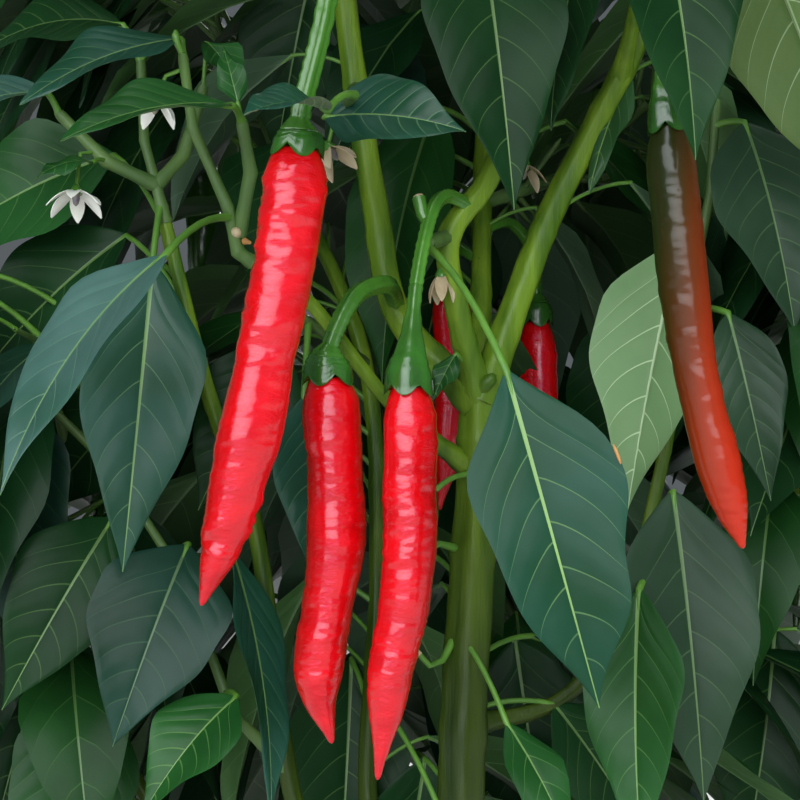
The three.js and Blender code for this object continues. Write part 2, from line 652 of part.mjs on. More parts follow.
function makeSpray(name, spec) {
  const runs = sprayRuns(spec);
  const twigsOf = (run) => run.slice(1).map((end, i) => ({ ends: [run[i], end], radii: [TWIG_RADII[1]] }));
  const twigs = runs.flatMap(twigsOf);
  const leaves = spec.leaves.map(({ base, tip, width, face, arch }) => ({
    root: nearestOn(twigs.slice(1), vec(base)),
    base: vec(base),
    tip: vec(tip),
    face: vec(face).normalize(),
    width,
    arch,
    fold: TOLD_FOLD,
    told: true,
  }));
  twigs.forEach((twig) => occupyTwig(twig, name));
  for (const leaf of leaves) {
    for (const sample of leafSamples(leaf)) occupy(sample.place, sample.reach, name, sample.woody);
  }
  const radii = (run) => run.map((_, i) => TWIG_RADII[Math.min(i, 3)]);
  const solids = runs.map((run, branch) => runSolid(run, radii(run), branch === 0));
  addNode(name, joined([...solids, ...leaves.map(leafSolid)]), LEAF);
}

// Pods: thickest below the shoulder, nearly even down to three quarters, then drawn to a tip
function podRadius(s, radius) {
  const shoulder = 0.74 + 0.26 * Math.sin((Math.min(1, s / 0.12) * Math.PI) / 2);
  const taper = 1 - 0.2 * s ** 1.6;
  const point = 1 - (Math.max(0, s - 0.7) / 0.3) ** 1.5;
  return s === 1 ? 0 : radius * shoulder * taper * point;
}

// A stalk swells into its calyx over the last stretch before the pod's shoulder.
function stalkRadiusAt(t, spec, cupStart, rim) {
  const share = Math.max(0, (t - cupStart) / (rim - cupStart));
  return spec.stalkRadius + (spec.cup - spec.stalkRadius) * Math.sin((share * Math.PI) / 2);
}

const SHOULDER_STEP = 0.004; // from the calyx's rim to the body of a pod in one piece with it
const POD_STOPS = [0, 0.05, 0.13, 0.3, 0.5, 0.7, 0.82, 0.91, 0.965, 1];

function makePod(name, spec, isJoined) {
  const sides = isJoined ? HUNG_POD_SIDES : POD_SIDES;
  const points = [...spec.stalk, ...spec.body].map(vec);
  const curve = smoothCurve(points);
  const rim = spec.stalk.length / (points.length - 1);
  const neck = points[spec.stalk.length - 1].distanceTo(points[spec.stalk.length]);
  const cupStart = rim - CALYX_HEIGHT / neck / (points.length - 1);
  const limb = limbs[spec.on];
  const start = shareAt(curve, limb.radiusAt(spec.at) + POD_STUB_OVER_LIMB);
  addStub(spec.on, curve, start, () => spec.stalkRadius);
  const radiusAt = (t) => stalkRadiusAt(t, spec, cupStart, rim);
  const stalkStops = [...stopsBetween(start, cupStart, 5), ...stopsBetween(cupStart, rim, 3).slice(1)];
  const stalkRings = ringsAlong(curve, stalkStops, radiusAt, sides);
  const bodyStart = rim + (isJoined ? SHOULDER_STEP : GAP / curve.getLength());
  const bodyAt = (s) => bodyStart + (1 - bodyStart) * s;
  const sizeAt = (t) => podRadius((t - bodyStart) / (1 - bodyStart), spec.radius);
  const bodyRings = ringsAlong(curve, POD_STOPS.map(bodyAt), sizeAt, sides);
  occupyCurve(curve, start, (t) => (t < rim ? radiusAt(t) : sizeAt(t)), name);
  if (isJoined) {
    addNode(`pod_${name}`, joined([loft([...stalkRings, ...bodyRings])]), spec.colour);
    return;
  }
  addNode(`stalk_${name}`, loft(stalkRings), STALK);
  addNode(`pod_${name}`, loft(bodyRings), spec.colour);
}

for (const [name, spec] of Object.entries(PODS)) makePod(name, spec, false);
for (const [name, spec] of Object.entries(BACK_PODS)) makePod(name, spec, true);
for (const [name, spec] of Object.entries(SPRAYS)) makeSpray(name, spec);

// Masses grown by rule: twigs fork in two, and each fork and tip carries leaves
function forkWay(mass, twig, key, attempt) {
  const turn = 2 * Math.PI * chance(mass.seed, key >> 1, attempt, DRAW.forkTurn) + (key % 2) * Math.PI;
  const across = new THREE.Vector3(0.2, 0.5, 1).cross(twig.way).normalize();
  const other = twig.way.clone().cross(across);
  const side = plus(across.clone().multiplyScalar(Math.cos(turn)), other, Math.sin(turn));
  const angle = FORK_ANGLE * between(0.8, 1.35, mass.seed, key, attempt, DRAW.forkAngle);
  const way = plus(twig.way.clone().multiplyScalar(Math.cos(angle)), side, Math.sin(angle));
  const inward = plus(mass.middle, twig.ends[1], -1).divide(mass.half);
  return plus(plus(way, UP, TWIG_LIFT), inward, TWIG_PULL).normalize();
}

function twigFits(mass, twig) {
  const steps = Math.ceil(twig.ends[0].distanceTo(twig.ends[1]) / SAMPLE_STEP);
  return stopsBetween(TWIG_FREE_FROM, 1, steps).every((t) => {
    const place = mix(twig.ends[0], twig.ends[1], t);
    return isInside(place, mass) && !isTaken(place, twig.radii[0] + 1, mass.name, twig.ends[0]);
  });
}

function growTwigs(mass) {
  const ends = [mass.from, plus(mass.from, mass.way, TWIG_LENGTHS[0])];
  mass.twigs = [{ ends, way: mass.way, order: 0, key: 1, radii: TWIG_RADII.slice(0, 2) }];
  occupyTwig(mass.twigs[0], mass.name);
  for (let i = 0; i < mass.twigs.length; i += 1) {
    const parent = mass.twigs[i];
    if (parent.order + 1 === TWIG_LENGTHS.length) continue;
    for (const key of [parent.key * 2, parent.key * 2 + 1]) {
      for (let attempt = 0; attempt < TRIES; attempt += 1) {
        const order = parent.order + 1;
        const way = forkWay(mass, parent, key, attempt);
        const share = between(0.85, 1.2, mass.seed, key, attempt, DRAW.twigLength);
        const length = TWIG_LENGTHS[order] * share;
        const ends = [parent.ends[1], plus(parent.ends[1], way, length)];
        const twig = { ends, way, order, key, radii: [TWIG_RADII[order], TWIG_RADII[order + 1]] };
        if (!twigFits(mass, twig)) continue;
        mass.twigs.push(twig);
        occupyTwig(twig, mass.name);
        break;
      }
    }
  }
}

// The first twig at each fork carries its parent's run on, and the second starts its own.
function massRuns(mass) {
  const byKey = new Map(mass.twigs.map((twig) => [twig.key, twig]));
  const startsRun = ({ key }) => key === 1 || key % 2 === 1 || !byKey.has(key / 2);
  const heads = mass.twigs.filter(startsRun);
  return heads.map((head) => {
    const run = [];
    for (let twig = head; twig; twig = byKey.get(twig.key * 2)) run.push(twig);
    const points = [head.ends[0], ...run.map((twig) => twig.ends[1])];
    return runSolid(points, [head.radii[0], ...run.map((twig) => twig.radii[1])], head.key === 1);
  });
}

function leafCandidate(mass, root, size, keys) {
  const turn = 2 * Math.PI * chance(...keys, DRAW.leafTurn);
  const outward = new THREE.Vector3(root.x, root.y, 0).normalize();
  const level = plus(new THREE.Vector3(Math.cos(turn), Math.sin(turn), 0), outward, 0.55).normalize();
  const droop = between(0.45, 1.4, ...keys, DRAW.droop);
  const length = LEAF_LENGTH * size * between(0.88, 1.14, ...keys, DRAW.bladeLength);
  const rise = between(0.25, 0.75, ...keys, DRAW.rise);
  const stalk = PETIOLE_LENGTH * size * between(0.75, 1.2, ...keys, DRAW.stalkLength);
  const base = plus(root, plus(level, UP, rise).normalize(), stalk);
  const chord = plus(level.clone().multiplyScalar(Math.cos(droop)), UP, -Math.sin(droop));
  const roll = between(-0.5, 0.5, ...keys, DRAW.roll);
  const side = level.clone().cross(UP);
  const upper = plus(level.clone().multiplyScalar(Math.sin(droop)), UP, Math.cos(droop));
  const face = plus(upper.multiplyScalar(Math.cos(roll)), side, Math.sin(roll));
  const width = length * LEAF_SLIMNESS * between(0.88, 1.12, ...keys, DRAW.bladeWidth);
  const arch = length * between(0.05, 0.13, ...keys, DRAW.arch);
  return { root, base, tip: plus(base, chord, length), width, face, arch, fold: GROWN_FOLD };
}

function growLeaf(mass, root, size, key) {
  for (let attempt = 0; attempt < TRIES; attempt += 1) {
    const leaf = leafCandidate(mass, root, size, [mass.seed, key, attempt]);
    const samples = leafSamples(leaf);
    const isFree = ({ place, reach }) => isInside(place, mass) && !isTaken(place, reach, mass.name, root);
    if (!samples.every(isFree)) continue;
    for (const { place, reach, woody } of samples) occupy(place, reach, mass.name, woody);
    mass.leaves.push(leaf);
    return;
  }
}

// Shares of a twig's length at which its leaves stand, and their sizes, by order of forking.
const LEAF_PLACES = [
  [[0.85, 1.05], [0.7, 1]],
  [[0.45, 1.05], [0.88, 1.05], [0.8, 0.95]],
  [[0.45, 0.95], [0.98, 1], [0.9, 0.9]],
];

function growLeaves(mass) {
  for (const twig of mass.twigs) {
    LEAF_PLACES[twig.order].forEach(([share, size], i) => {
      growLeaf(mass, mix(twig.ends[0], twig.ends[1], share), size, twig.key * 8 + i);
    });
  }
}

// A pod in a mass hangs on a stalk that rises from a fork and bends over.
function podCandidate(mass, root, keys) {
  const turn = 2 * Math.PI * chance(...keys, DRAW.podTurn);
  const level = new THREE.Vector3(Math.cos(turn), Math.sin(turn), 0);
  const rim = plus(plus(root, level, 19), UP, -17);
  const sideways = new THREE.Vector3(level.y, -level.x, 0);
  const lean = plus(level, sideways, between(-1, 1, ...keys, DRAW.podLean));
  const length = HUNG_POD.length * between(0.8, 1.12, ...keys, DRAW.podLength);
  const points = [root, plus(plus(root, level, 9), UP, 6), plus(plus(root, level, 17), UP, -4), rim];
  const down = (share, out) => plus(plus(rim, UP, -length * share), lean, out);
  points.push(down(0.33, 2), down(0.66, -1), down(1, 5));
  return smoothCurve(points);
}
const HUNG_RIM = 0.5;
const HUNG_STOPS = [0, 0.17, 0.33, 0.5, 0.56, 0.74, 0.9, 1];
const HUNG_CUP_START = 0.4;

function hungRadius(t) {
  const spec = { stalkRadius: HUNG_POD.stalk, cup: HUNG_POD.cup };
  if (t <= HUNG_RIM) return stalkRadiusAt(t, spec, HUNG_CUP_START, HUNG_RIM);
  return podRadius((t - HUNG_RIM) / (1 - HUNG_RIM), HUNG_POD.radius);
}

function growPods(mass) {
  const forks = mass.twigs.filter((twig) => twig.order < 2);
  for (let i = 0; i < mass.pods && i < forks.length; i += 1) {
    const root = forks[forks.length - 1 - i].ends[1];
    for (let attempt = 0; attempt < TRIES; attempt += 1) {
      const curve = podCandidate(mass, root, [mass.seed, i, attempt]);
      const places = stopsBetween(0.2, 1, 26).map((t) => [curve.getPoint(t), Math.max(hungRadius(t), 2)]);
      if (!places.every(([p, r]) => isInside(p, mass) && !isTaken(p, r, mass.name, root))) continue;
      for (const [p, r] of places) occupy(p, r, mass.name, false);
      mass.hung.push(curve);
      break;
    }
  }
}

const masses = Object.entries(MASSES).map(([name, spec], i) => {
  const { from, way } = startOn(spec, vec(spec.aim ?? [0, 0, 1]), TWIG_RADII[0]);
  const space = { middle: vec(spec.middle), half: vec(spec.half) };
  return { name, seed: i + FIRST_SEED, pods: spec.pods, ...space, from, way, leaves: [], hung: [] };
});
masses.forEach(growTwigs);
masses.forEach(growPods);
masses.forEach(growLeaves);

for (const mass of masses) {
  const solids = [
    ...massRuns(mass),
    ...mass.hung.map((curve) => loft(ringsAlong(curve, HUNG_STOPS, hungRadius, HUNG_POD_SIDES))),
    ...mass.leaves.map(leafSolid),
  ];
  addNode(mass.name, joined(solids), LEAF);
}
for (const [name, limb] of Object.entries(limbs)) addNode(name, joined(limb.solids), STEM);

export default plant;
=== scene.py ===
"""Chilli pepper plant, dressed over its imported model.

Lengths are in millimetres until a mesh is made. The origin is the middle of the stem's flat cut
at ground level, +Z is up, and the photograph looks along +Y.
"""
import math

import bpy
import numpy as np
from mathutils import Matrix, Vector, noise


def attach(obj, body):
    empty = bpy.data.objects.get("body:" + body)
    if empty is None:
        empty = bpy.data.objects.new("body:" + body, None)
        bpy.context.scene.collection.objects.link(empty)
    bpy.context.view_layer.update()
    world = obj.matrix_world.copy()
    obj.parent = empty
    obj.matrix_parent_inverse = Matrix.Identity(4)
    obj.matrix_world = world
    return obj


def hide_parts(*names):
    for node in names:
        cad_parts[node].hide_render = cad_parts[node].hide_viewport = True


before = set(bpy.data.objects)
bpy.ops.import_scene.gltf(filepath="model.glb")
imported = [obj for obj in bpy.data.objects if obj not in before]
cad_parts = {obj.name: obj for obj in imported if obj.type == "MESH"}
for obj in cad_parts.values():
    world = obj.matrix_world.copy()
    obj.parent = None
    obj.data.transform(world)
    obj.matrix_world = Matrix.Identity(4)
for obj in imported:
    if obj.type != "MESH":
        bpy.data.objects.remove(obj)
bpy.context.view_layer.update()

MM = 0.001
CAMERA_PLACE = np.array([-22.0, -680.0, 285.0])

# Driving dimensions, as in the part's source
STEM_FOOT_RADIUS = 8.4
STEM_TOP_RADIUS = 6.1
ROOT_FLARE = 4.6
FLARE_HEIGHT = 15
LEAF_LENGTH = 90
LEAF_SLIMNESS = 0.45
TOLD_FOLD = 0.2
GROWN_FOLD = 0.07
WEDGE = 0.3
PETIOLE_LENGTH = 31
PETIOLE_RADIUS = 1.2
TWIG_LENGTHS = [30, 46, 40]
TWIG_RADII = [2.3, 2.0, 1.7, 1.5]
FORK_ANGLE = 0.56
HUNG_POD = {"length": 96, "radius": 6.6, "cup": 5.6, "stalk_radius": 1.9, "creases": 0.5}
CALYX_HEIGHT = 9.9

# Spaces between pieces, as in the part's source
GAP = 0.3
CLEARANCE = 2
SAMPLE_STEP = 4.5
FREE_AT_ROOT = 18
CELL = 15
TRIES = 7
CROWN_FLOOR = 46
STUB_OVER_LIMB = 4
POD_STUB_OVER_LIMB = 5

UP = np.array([0.0, 0.0, 1.0])
PLAIN_OUTLINE = {"wedge": WEDGE, "fuller": 0, "lopsided": 0}


def vec(point):
    return np.array(point, float)


def size_of(v):
    return math.sqrt(float(v @ v))


def unit(v):
    return v / size_of(v)


def mix(a, b, t):
    return a + (b - a) * t


def leaf_of(base, tip, width, face, arch, tint, root=(0, 0, 0), wider=1, is_dried=False, **outline):
    """A leaf told by its place. Its upper side looks along `face`, and its middle is out by `arch`."""
    return {
        "root": vec(root), "base": vec(base), "tip": vec(tip), "width": width, "face": unit(vec(face)),
        "arch": arch, "fold": TOLD_FOLD, "tint": tint, "wider": wider, "is_dried": is_dried,
        **PLAIN_OUTLINE, **outline,
    }


def limb_of(on, radii, path=None, tip=None):
    """A limb on another one, along points, or from that one's end to a tip."""
    return {"on": on, "radii": radii, "path": path, "tip": tip}


def mass_of(on, middle, half, pods, at=1, aim=(0, 0, 1)):
    """A mass of foliage on a limb, with the middle and half sizes of its space."""
    return {"on": on, "at": at, "aim": vec(aim), "middle": vec(middle), "half": vec(half), "pods": pods}


# Limbs: each starts on the line of the one that it grows on
LIMBS = {
    "trunk": limb_of(None, (STEM_FOOT_RADIUS, STEM_TOP_RADIUS), [
        (0, 0, 0), (0, 0, 24), (-4, 0, 110), (-2, 0, 192), (2, 0, 254), (3, 0, 286)
    ]),
    "bough_left": limb_of("trunk", (4.5, 3.4), [
        (3, 0, 284), (-22, 8, 311), (-30, 14, 348), (-37, 18, 393), (-42, 20, 428), (-55, 24, 478)
    ]),
    "bough_front": limb_of("trunk", (3.8, 3.0), [
        (3, 0, 284), (-4, -9, 311), (-7, -14, 334), (5, -12, 352), (15, -8, 377), (27, -8, 408),
        (45, -20, 470)
    ]),
    "bough_right": limb_of("trunk", (4.6, 3.4), [
        (3, 0, 284), (17, 5, 322), (27, 8, 347), (47, 10, 386), (62, 12, 420), (90, 18, 480)
    ]),
    "bough_back": limb_of("trunk", (3.6, 2.8), [
        (3, 0, 282), (4, 26, 309), (5, 46, 350), (8, 72, 420), (5, 95, 470)
    ]),
    "shoot_mid_left": limb_of("trunk", (2.4, 1.9), [
        (2, 0, 262), (-25, -12, 284), (-49, -20, 314), (-66, -25, 326)
    ]),
    "shoot_left": limb_of("trunk", (3.4, 2.1), [
        (-4, 0, 104), (-38, 5, 124), (-56, 8, 162), (-67, 6, 244), (-81, 4, 285), (-95, 4, 340)
    ]),
    "shoot_behind": limb_of("trunk", (3.5, 2.3), [
        (-3, 0, 76), (-20, 16, 110), (-32, 20, 157), (-29, 22, 229), (-34, 44, 300), (-62, 74, 365)
    ]),
    "shoot_right": limb_of("trunk", (2.6, 1.9), [
        (-2, 0, 184), (28, 8, 191), (48, 14, 215), (60, 16, 260), (66, 14, 292)
    ]),
    "shoot_right_low": limb_of("trunk", (3.0, 2.1), [
        (-4, 0, 130), (40, 30, 160), (82, 52, 205), (112, 64, 255)
    ]),
    "shoot_left_low": limb_of("trunk", (3.0, 2.1), [
        (-2, 0, 52), (-50, 28, 86), (-96, 44, 138), (-124, 44, 188)
    ]),
    "shoot_back": limb_of("trunk", (3.1, 2.1), [
        (-4, 0, 112), (-2, 42, 138), (-6, 82, 176), (-10, 112, 222)
    ]),
    "limb_front_left": limb_of("bough_left", (2.9, 2.1), [
        (-42, 20, 428), (-40, -18, 444), (-46, -58, 456), (-66, -100, 492)
    ]),
    "limb_front_low": limb_of("bough_right", (2.4, 1.9), [
        (47, 10, 386), (52, -14, 412), (58, -38, 436), (62, -60, 452)
    ]),
    "limb_left_outer": limb_of("bough_left", (2.8, 2.1), tip=(-146, 6, 548)),
    "limb_left_inner": limb_of("bough_left", (2.8, 2.1), tip=(-64, 56, 588)),
    "limb_front_right": limb_of("bough_front", (2.6, 2.1), tip=(78, -104, 540)),
    "limb_centre": limb_of("bough_front", (2.6, 2.1), tip=(28, -18, 600)),
    "limb_right_outer": limb_of("bough_right", (2.8, 2.1), tip=(176, 2, 540)),
    "limb_right_inner": limb_of("bough_right", (2.8, 2.1), tip=(106, 66, 588)),
    "limb_back_left": limb_of("bough_back", (2.6, 2.1), tip=(-74, 150, 548)),
    "limb_back_right": limb_of("bough_back", (2.6, 2.1), tip=(86, 150, 546)),
}

# Masses of foliage, each on its limb
MASSES = {
    "foliage_left_outer": mass_of("limb_left_outer", (-178, -4, 562), (106, 108, 116), 2),
    "foliage_left_top": mass_of("limb_left_inner", (-76, 70, 650), (108, 106, 118), 1),
    "foliage_front_left": mass_of("limb_front_left", (-88, -126, 530), (108, 100, 114), 1),
    "foliage_front_right": mass_of("limb_front_right", (84, -134, 568), (108, 100, 116), 1),
    "foliage_top": mass_of("limb_centre", (22, -26, 668), (108, 104, 118), 1),
    "foliage_right_outer": mass_of("limb_right_outer", (200, -6, 560), (104, 110, 116), 2),
    "foliage_right_top": mass_of("limb_right_inner", (118, 82, 648), (104, 104, 116), 1),
    "foliage_back_left": mass_of("limb_back_left", (-98, 176, 572), (110, 96, 122), 2),
    "foliage_back_right": mass_of("limb_back_right", (104, 176, 570), (110, 96, 122), 2),
    "foliage_mid_left": mass_of("shoot_behind", (-96, 112, 400), (112, 92, 112), 1),
    "foliage_mid_right": mass_of("bough_back", (84, 128, 390), (108, 92, 112), 1, 0.5, (0.8, 0.5, 0.3)),
    "foliage_low_right": mass_of("shoot_right_low", (150, 72, 284), (106, 104, 122), 2),
    "foliage_low_left": mass_of("shoot_left_low", (-158, 52, 230), (106, 98, 126), 2),
    "foliage_low_back": mass_of("shoot_back", (-8, 150, 246), (114, 92, 124), 1),
    "foliage_low_middle": mass_of("shoot_behind", (-50, 98, 186), (104, 88, 116), 1, 0.36,
                                  (-0.3, 1, -0.2)),
    "foliage_low_behind": mass_of("shoot_right_low", (54, 112, 190), (104, 90, 118), 1, 0.4,
                                  (-0.3, 1, -0.1)),
}
FIRST_SEED = 11

# Sprays told one by one, each twig as points from its limb out
SPRAYS = {
    "spray_front": {
        "on": "bough_front", "at": 0.34, "twigs": [[(-7, -14, 334), (-14, -25, 331)]],
        "leaves": [
            leaf_of((8, -62, 293), (33, -75, 200), 38, (-0.1, -0.95, 0.3), 5, "front",
                    wider=1.13, is_dried=True, wedge=0.5, fuller=0.36, lopsided=0.1),
        ],
    },
    "spray_centre": {
        "on": "bough_left", "at": 0.56,
        "twigs": [[(-36, 17, 386), (-38, -6, 378), (-38, -34, 372), (-35, -54, 372)]],
        "leaves": [
            leaf_of((-44, -36, 368), (-3, -50, 362), 27, (0, -0.85, 0.5), 4, "blue"),
            leaf_of((-42, -74, 365), (-64, -93, 361), 21, (0.15, -0.3, 0.95), 3, "blue"),
        ],
    },
    "spray_mid_left": {
        "on": "shoot_mid_left",
        "twigs": [
            [(-66, -25, 326), (-73, -30, 342), (-83, -34, 365), (-87, -24, 388)],
            [(-70, -27, 334), (-66, -34, 352), (-68, -43, 366)],
        ],
        "leaves": [
            leaf_of((-88, -62, 326), (-131, -82, 259), 36, (-0.45, -0.55, 0.7), 7, "grey_sheen"),
            leaf_of((-70, -54, 369), (-114, -86, 355), 28, (0.05, -0.4, 0.92), 4, "green"),
            leaf_of((-88, -17, 394), (-133, -40, 371), 30, (-0.1, -0.5, 0.85), 4, "blue"),
            leaf_of((-69, -44, 371), (-74, -38, 389), 9, (0.1, -0.9, 0.2), 1, "green"),
        ],
    },
    "spray_left": {
        "on": "shoot_left",
        "twigs": [
            [(-95, 4, 340), (-98, 4, 352), (-102, 6, 366), (-104, 14, 392)],
            [(-98, 4, 352), (-90, 9, 362), (-84, 12, 384)],
            [(-98, 4, 352), (-113, 0, 359), (-128, 2, 374)],
        ],
        "leaves": [
            leaf_of((-98, -6, 327), (-106, -16, 233), 38, (0.15, -0.95, 0.15), 5, "blue"),
            leaf_of((-116, -8, 358), (-132, -18, 352), 15, (0, -0.3, 0.95), 2, "green"),
            leaf_of((-131, -2, 380), (-168, -12, 366), 26, (-0.2, -0.5, 0.8), 4, "grey_sheen"),
            leaf_of((-110, 16, 404), (-156, 14, 394), 34, (0, -0.6, 0.8), 6, "deep"),
            leaf_of((-83, 12, 398), (-72, 2, 380), 14, (0.4, -0.7, 0.4), 2, "green"),
        ],
    },
    "spray_low_left": {
        "on": "shoot_left", "at": 0.42,
        "twigs": [[(-57, 8, 167), (-74, 3, 187), (-90, 12, 228), (-114, 18, 264), (-144, 24, 292)]],
        "leaves": [
            leaf_of((-152, 20, 290), (-136, 12, 200), 44, (-0.1, -0.9, 0.4), 6, "bluish"),
            leaf_of((-112, 8, 248), (-144, -8, 190), 38, (0.2, -0.85, 0.45), 6, "deep"),
            leaf_of((-88, 3, 240), (-109, -16, 180), 44, (0.1, -0.85, 0.5), 5, "bluish"),
            leaf_of((-72, -8, 194), (-99, -24, 161), 28, (-0.1, -0.7, 0.7), 4, "green"),
            leaf_of((-74, -2, 238), (-61, -20, 160), 26, (0.85, -0.45, 0.1), 4, "blue"),
        ],
    },
    "spray_behind": {
        "on": "shoot_behind", "at": 0.79, "twigs": [[(-34, 42, 297), (-46, 28, 306), (-54, 18, 312)]],
        "leaves": [
            leaf_of((-60, 22, 304), (-86, 16, 250), 34, (0, -0.9, 0.3), 3, "deep"),
            leaf_of((-52, 8, 286), (-50, -4, 232), 26, (0.3, -0.9, 0.3), 4, "blue"),
        ],
    },
    "spray_right": {
        "on": "shoot_right", "twigs": [[(66, 14, 292), (70, 12, 322), (76, 12, 350), (78, 14, 380)]],
        "leaves": [
            leaf_of((64, -8, 334), (46, -24, 252), 40, (-0.2, 0.9, 0.35), 3, "pale"),
            leaf_of((86, 8, 372), (100, -2, 306), 40, (0.1, -0.85, 0.5), 5, "dull"),
            leaf_of((80, 2, 312), (92, -6, 254), 25, (-0.1, -0.9, 0.4), 4, "dull"),
        ],
    },
    "spray_low_right": {
        "on": "shoot_right", "at": 0.5, "twigs": [[(48, 14, 215), (56, 1, 230), (60, 0, 250)]],
        "leaves": [
            leaf_of((62, -4, 257), (70, -16, 163), 44, (0.05, -0.95, 0.3), 5, "dull"),
            leaf_of((50, -20, 228), (49, -36, 150), 32, (-0.45, -0.85, 0.3), 4, "green"),
        ],
    },
    "spray_upper_right": {
        "on": "bough_front", "at": 0.84, "twigs": [[(28, -9, 411), (19, -20, 422), (8, -24, 434)]],
        "leaves": [
            leaf_of((1, -30, 431), (11, -46, 340), 42, (0.05, -0.92, 0.3), 6, "deep"),
            leaf_of((35, -25, 426), (23, -28, 365), 28, (-0.6, -0.7, 0.2), 4, "deep"),
        ],
    },
    "spray_front_right": {
        "on": "limb_front_low", "twigs": [[(62, -60, 452), (64, -68, 464), (70, -66, 474)]],
        "leaves": [
            leaf_of((47, -74, 430), (58, -86, 350), 38, (0.2, -0.9, 0.4), 6, "deep"),
            leaf_of((80, -54, 420), (114, -46, 338), 44, (0.1, 0.9, 0.4), 5, "olive"),
        ],
    },
}

# Large pods. The stalk's points run from its limb to the calyx, and the body's on to the tip.
PODS = {
    "one": {
        "on": "limb_front_left", "at": 0.62, "radius": 9.3, "cup": 7.2, "stalk_radius": 2.8,
        "stalk": [(-45, -52, 454), (-41, -60, 422), (-43, -61, 396), (-50, -62, 366)],
        "body": [(-51, -62, 355), (-54.3, -62, 327), (-62.8, -62, 285), (-70, -62, 253), (-78, -62, 227)],
        "creases": 1.0,
    },
    "two": {
        "on": "bough_left", "at": 0.22, "radius": 8.8, "cup": 7.2, "stalk_radius": 2.6,
        "stalk": [(-23, 9, 315), (-26, -14, 320), (-35, -29, 316), (-42, -35, 302)],
        "body": [(-43, -35, 291), (-41.5, -35, 266), (-41, -35, 240), (-46, -35, 205), (-42, -35, 184)],
        "creases": 0.6,
    },
    "three": {
        "on": "bough_front", "at": 0.42, "radius": 7.9, "cup": 6.7, "stalk_radius": 2.0, "taller": 2.0,
        "stalk": [(-1, -14, 344), (-8.5, -23, 346), (-13, -31, 339), (-17, -39, 320), (-18.8, -44, 300)],
        "body": [(-19.5, -45, 288), (-19, -45, 256), (-20.5, -45, 227), (-25, -45, 204),
                 (-28.5, -45, 175)],
        "creases": 0.75,
    },
    "four": {
        "on": "limb_front_low", "at": 0.7, "radius": 7.1, "cup": 5.8, "stalk_radius": 2.0, "taller": 1.7,
        "stalk": [(58, -40, 437), (54, -52, 416), (52, -58, 396), (52.5, -60, 375)],
        "body": [(54, -60, 362), (56, -60, 339), (59, -60, 313), (63.5, -60, 285), (71, -60, 257),
                 (75, -60, 243)],
        "creases": 0.42,
    },
    "back_right": {
        "on": "bough_back", "at": 0.46, "radius": 6.6, "cup": 5.4, "stalk_radius": 1.8,
        "stalk": [(5, 42, 341), (15, 53, 344), (23, 60, 334), (24, 61, 321)],
        "body": [(24, 61, 311), (25, 61, 280), (24, 63, 240), (21, 64, 212)],
        "creases": 0.5,
    },
    "back_left": {
        "on": "bough_back", "at": 0.4, "radius": 6.4, "cup": 5.2, "stalk_radius": 1.8,
        "stalk": [(4.6, 36, 330), (-4, 44, 336), (-7, 52, 337), (-6, 56, 330)],
        "body": [(-5, 56, 321), (-4, 56, 300), (-5, 56, 275), (-9, 55, 248)],
        "creases": 0.5,
    },
}

# Shares of a twig's length at which its leaves stand, and their sizes, by order of forking
LEAF_PLACES = [
    [(0.85, 1.05), (0.7, 1)],
    [(0.45, 1.05), (0.88, 1.05), (0.8, 0.95)],
    [(0.45, 0.95), (0.98, 1), (0.9, 0.9)],
]


def chance(*keys):
    """The source's repeatable random number from 0 to 1 for a list of whole numbers."""
    h = 2166136261
    for k in keys:
        h = ((h ^ k) * 16777619) & 0xFFFFFFFF
        h ^= h >> 13
        h = (h * 0x5BD1E995) & 0xFFFFFFFF
        h ^= h >> 15
    return h / 4294967296


def between(low, high, *keys):
    return low + (high - low) * chance(*keys)


def stops_between(low, high, steps):
    return low + (high - low) * np.arange(steps + 1) / steps


LENGTH_STEPS = 200
SHARE_STEPS = 400
SMALL_SHARE = 1e-4


class Curve:
    """A smooth curve through points, run through by a share from 0 to 1."""

    def __init__(self, points):
        p = np.array(points, float)
        self.knots = np.vstack([2 * p[0] - p[1], p, 2 * p[-1] - p[-2]])
        self.spans = len(p) - 1

    def at(self, share):
        place = np.asarray(share, float) * self.spans
        i = np.minimum(np.floor(place).astype(int), self.spans - 1)
        w = (place - i)[..., None]
        p0, p1, p2, p3 = (self.knots[i + k] for k in range(4))
        a, b = 0.5 * (p2 - p0), 0.5 * (p3 - p1)
        return p1 + a * w + (-3 * p1 + 3 * p2 - 2 * a - b) * w ** 2 + (2 * p1 - 2 * p2 + a + b) * w ** 3

    def way(self, share):
        share = np.asarray(share, float)
        step = self.at(np.minimum(share + SMALL_SHARE, 1)) - self.at(np.maximum(share - SMALL_SHARE, 0))
        return step / np.linalg.norm(step, axis=-1, keepdims=True)

    def lengths(self, steps):
        places = self.at(np.arange(steps + 1) / steps)
        return np.concatenate([[0], np.cumsum(np.linalg.norm(np.diff(places, axis=0), axis=1))])

    def length(self):
        return self.lengths(LENGTH_STEPS)[-1]

    def share_at(self, length):
        reached = np.nonzero(self.lengths(SHARE_STEPS)[1:] >= length)[0]
        return (reached[0] + 1) / SHARE_STEPS if len(reached) else 1.0


# What already grows where: points with the reach, owner and kind of each, in bunches with a box
MOST_BUNCHES = 20000


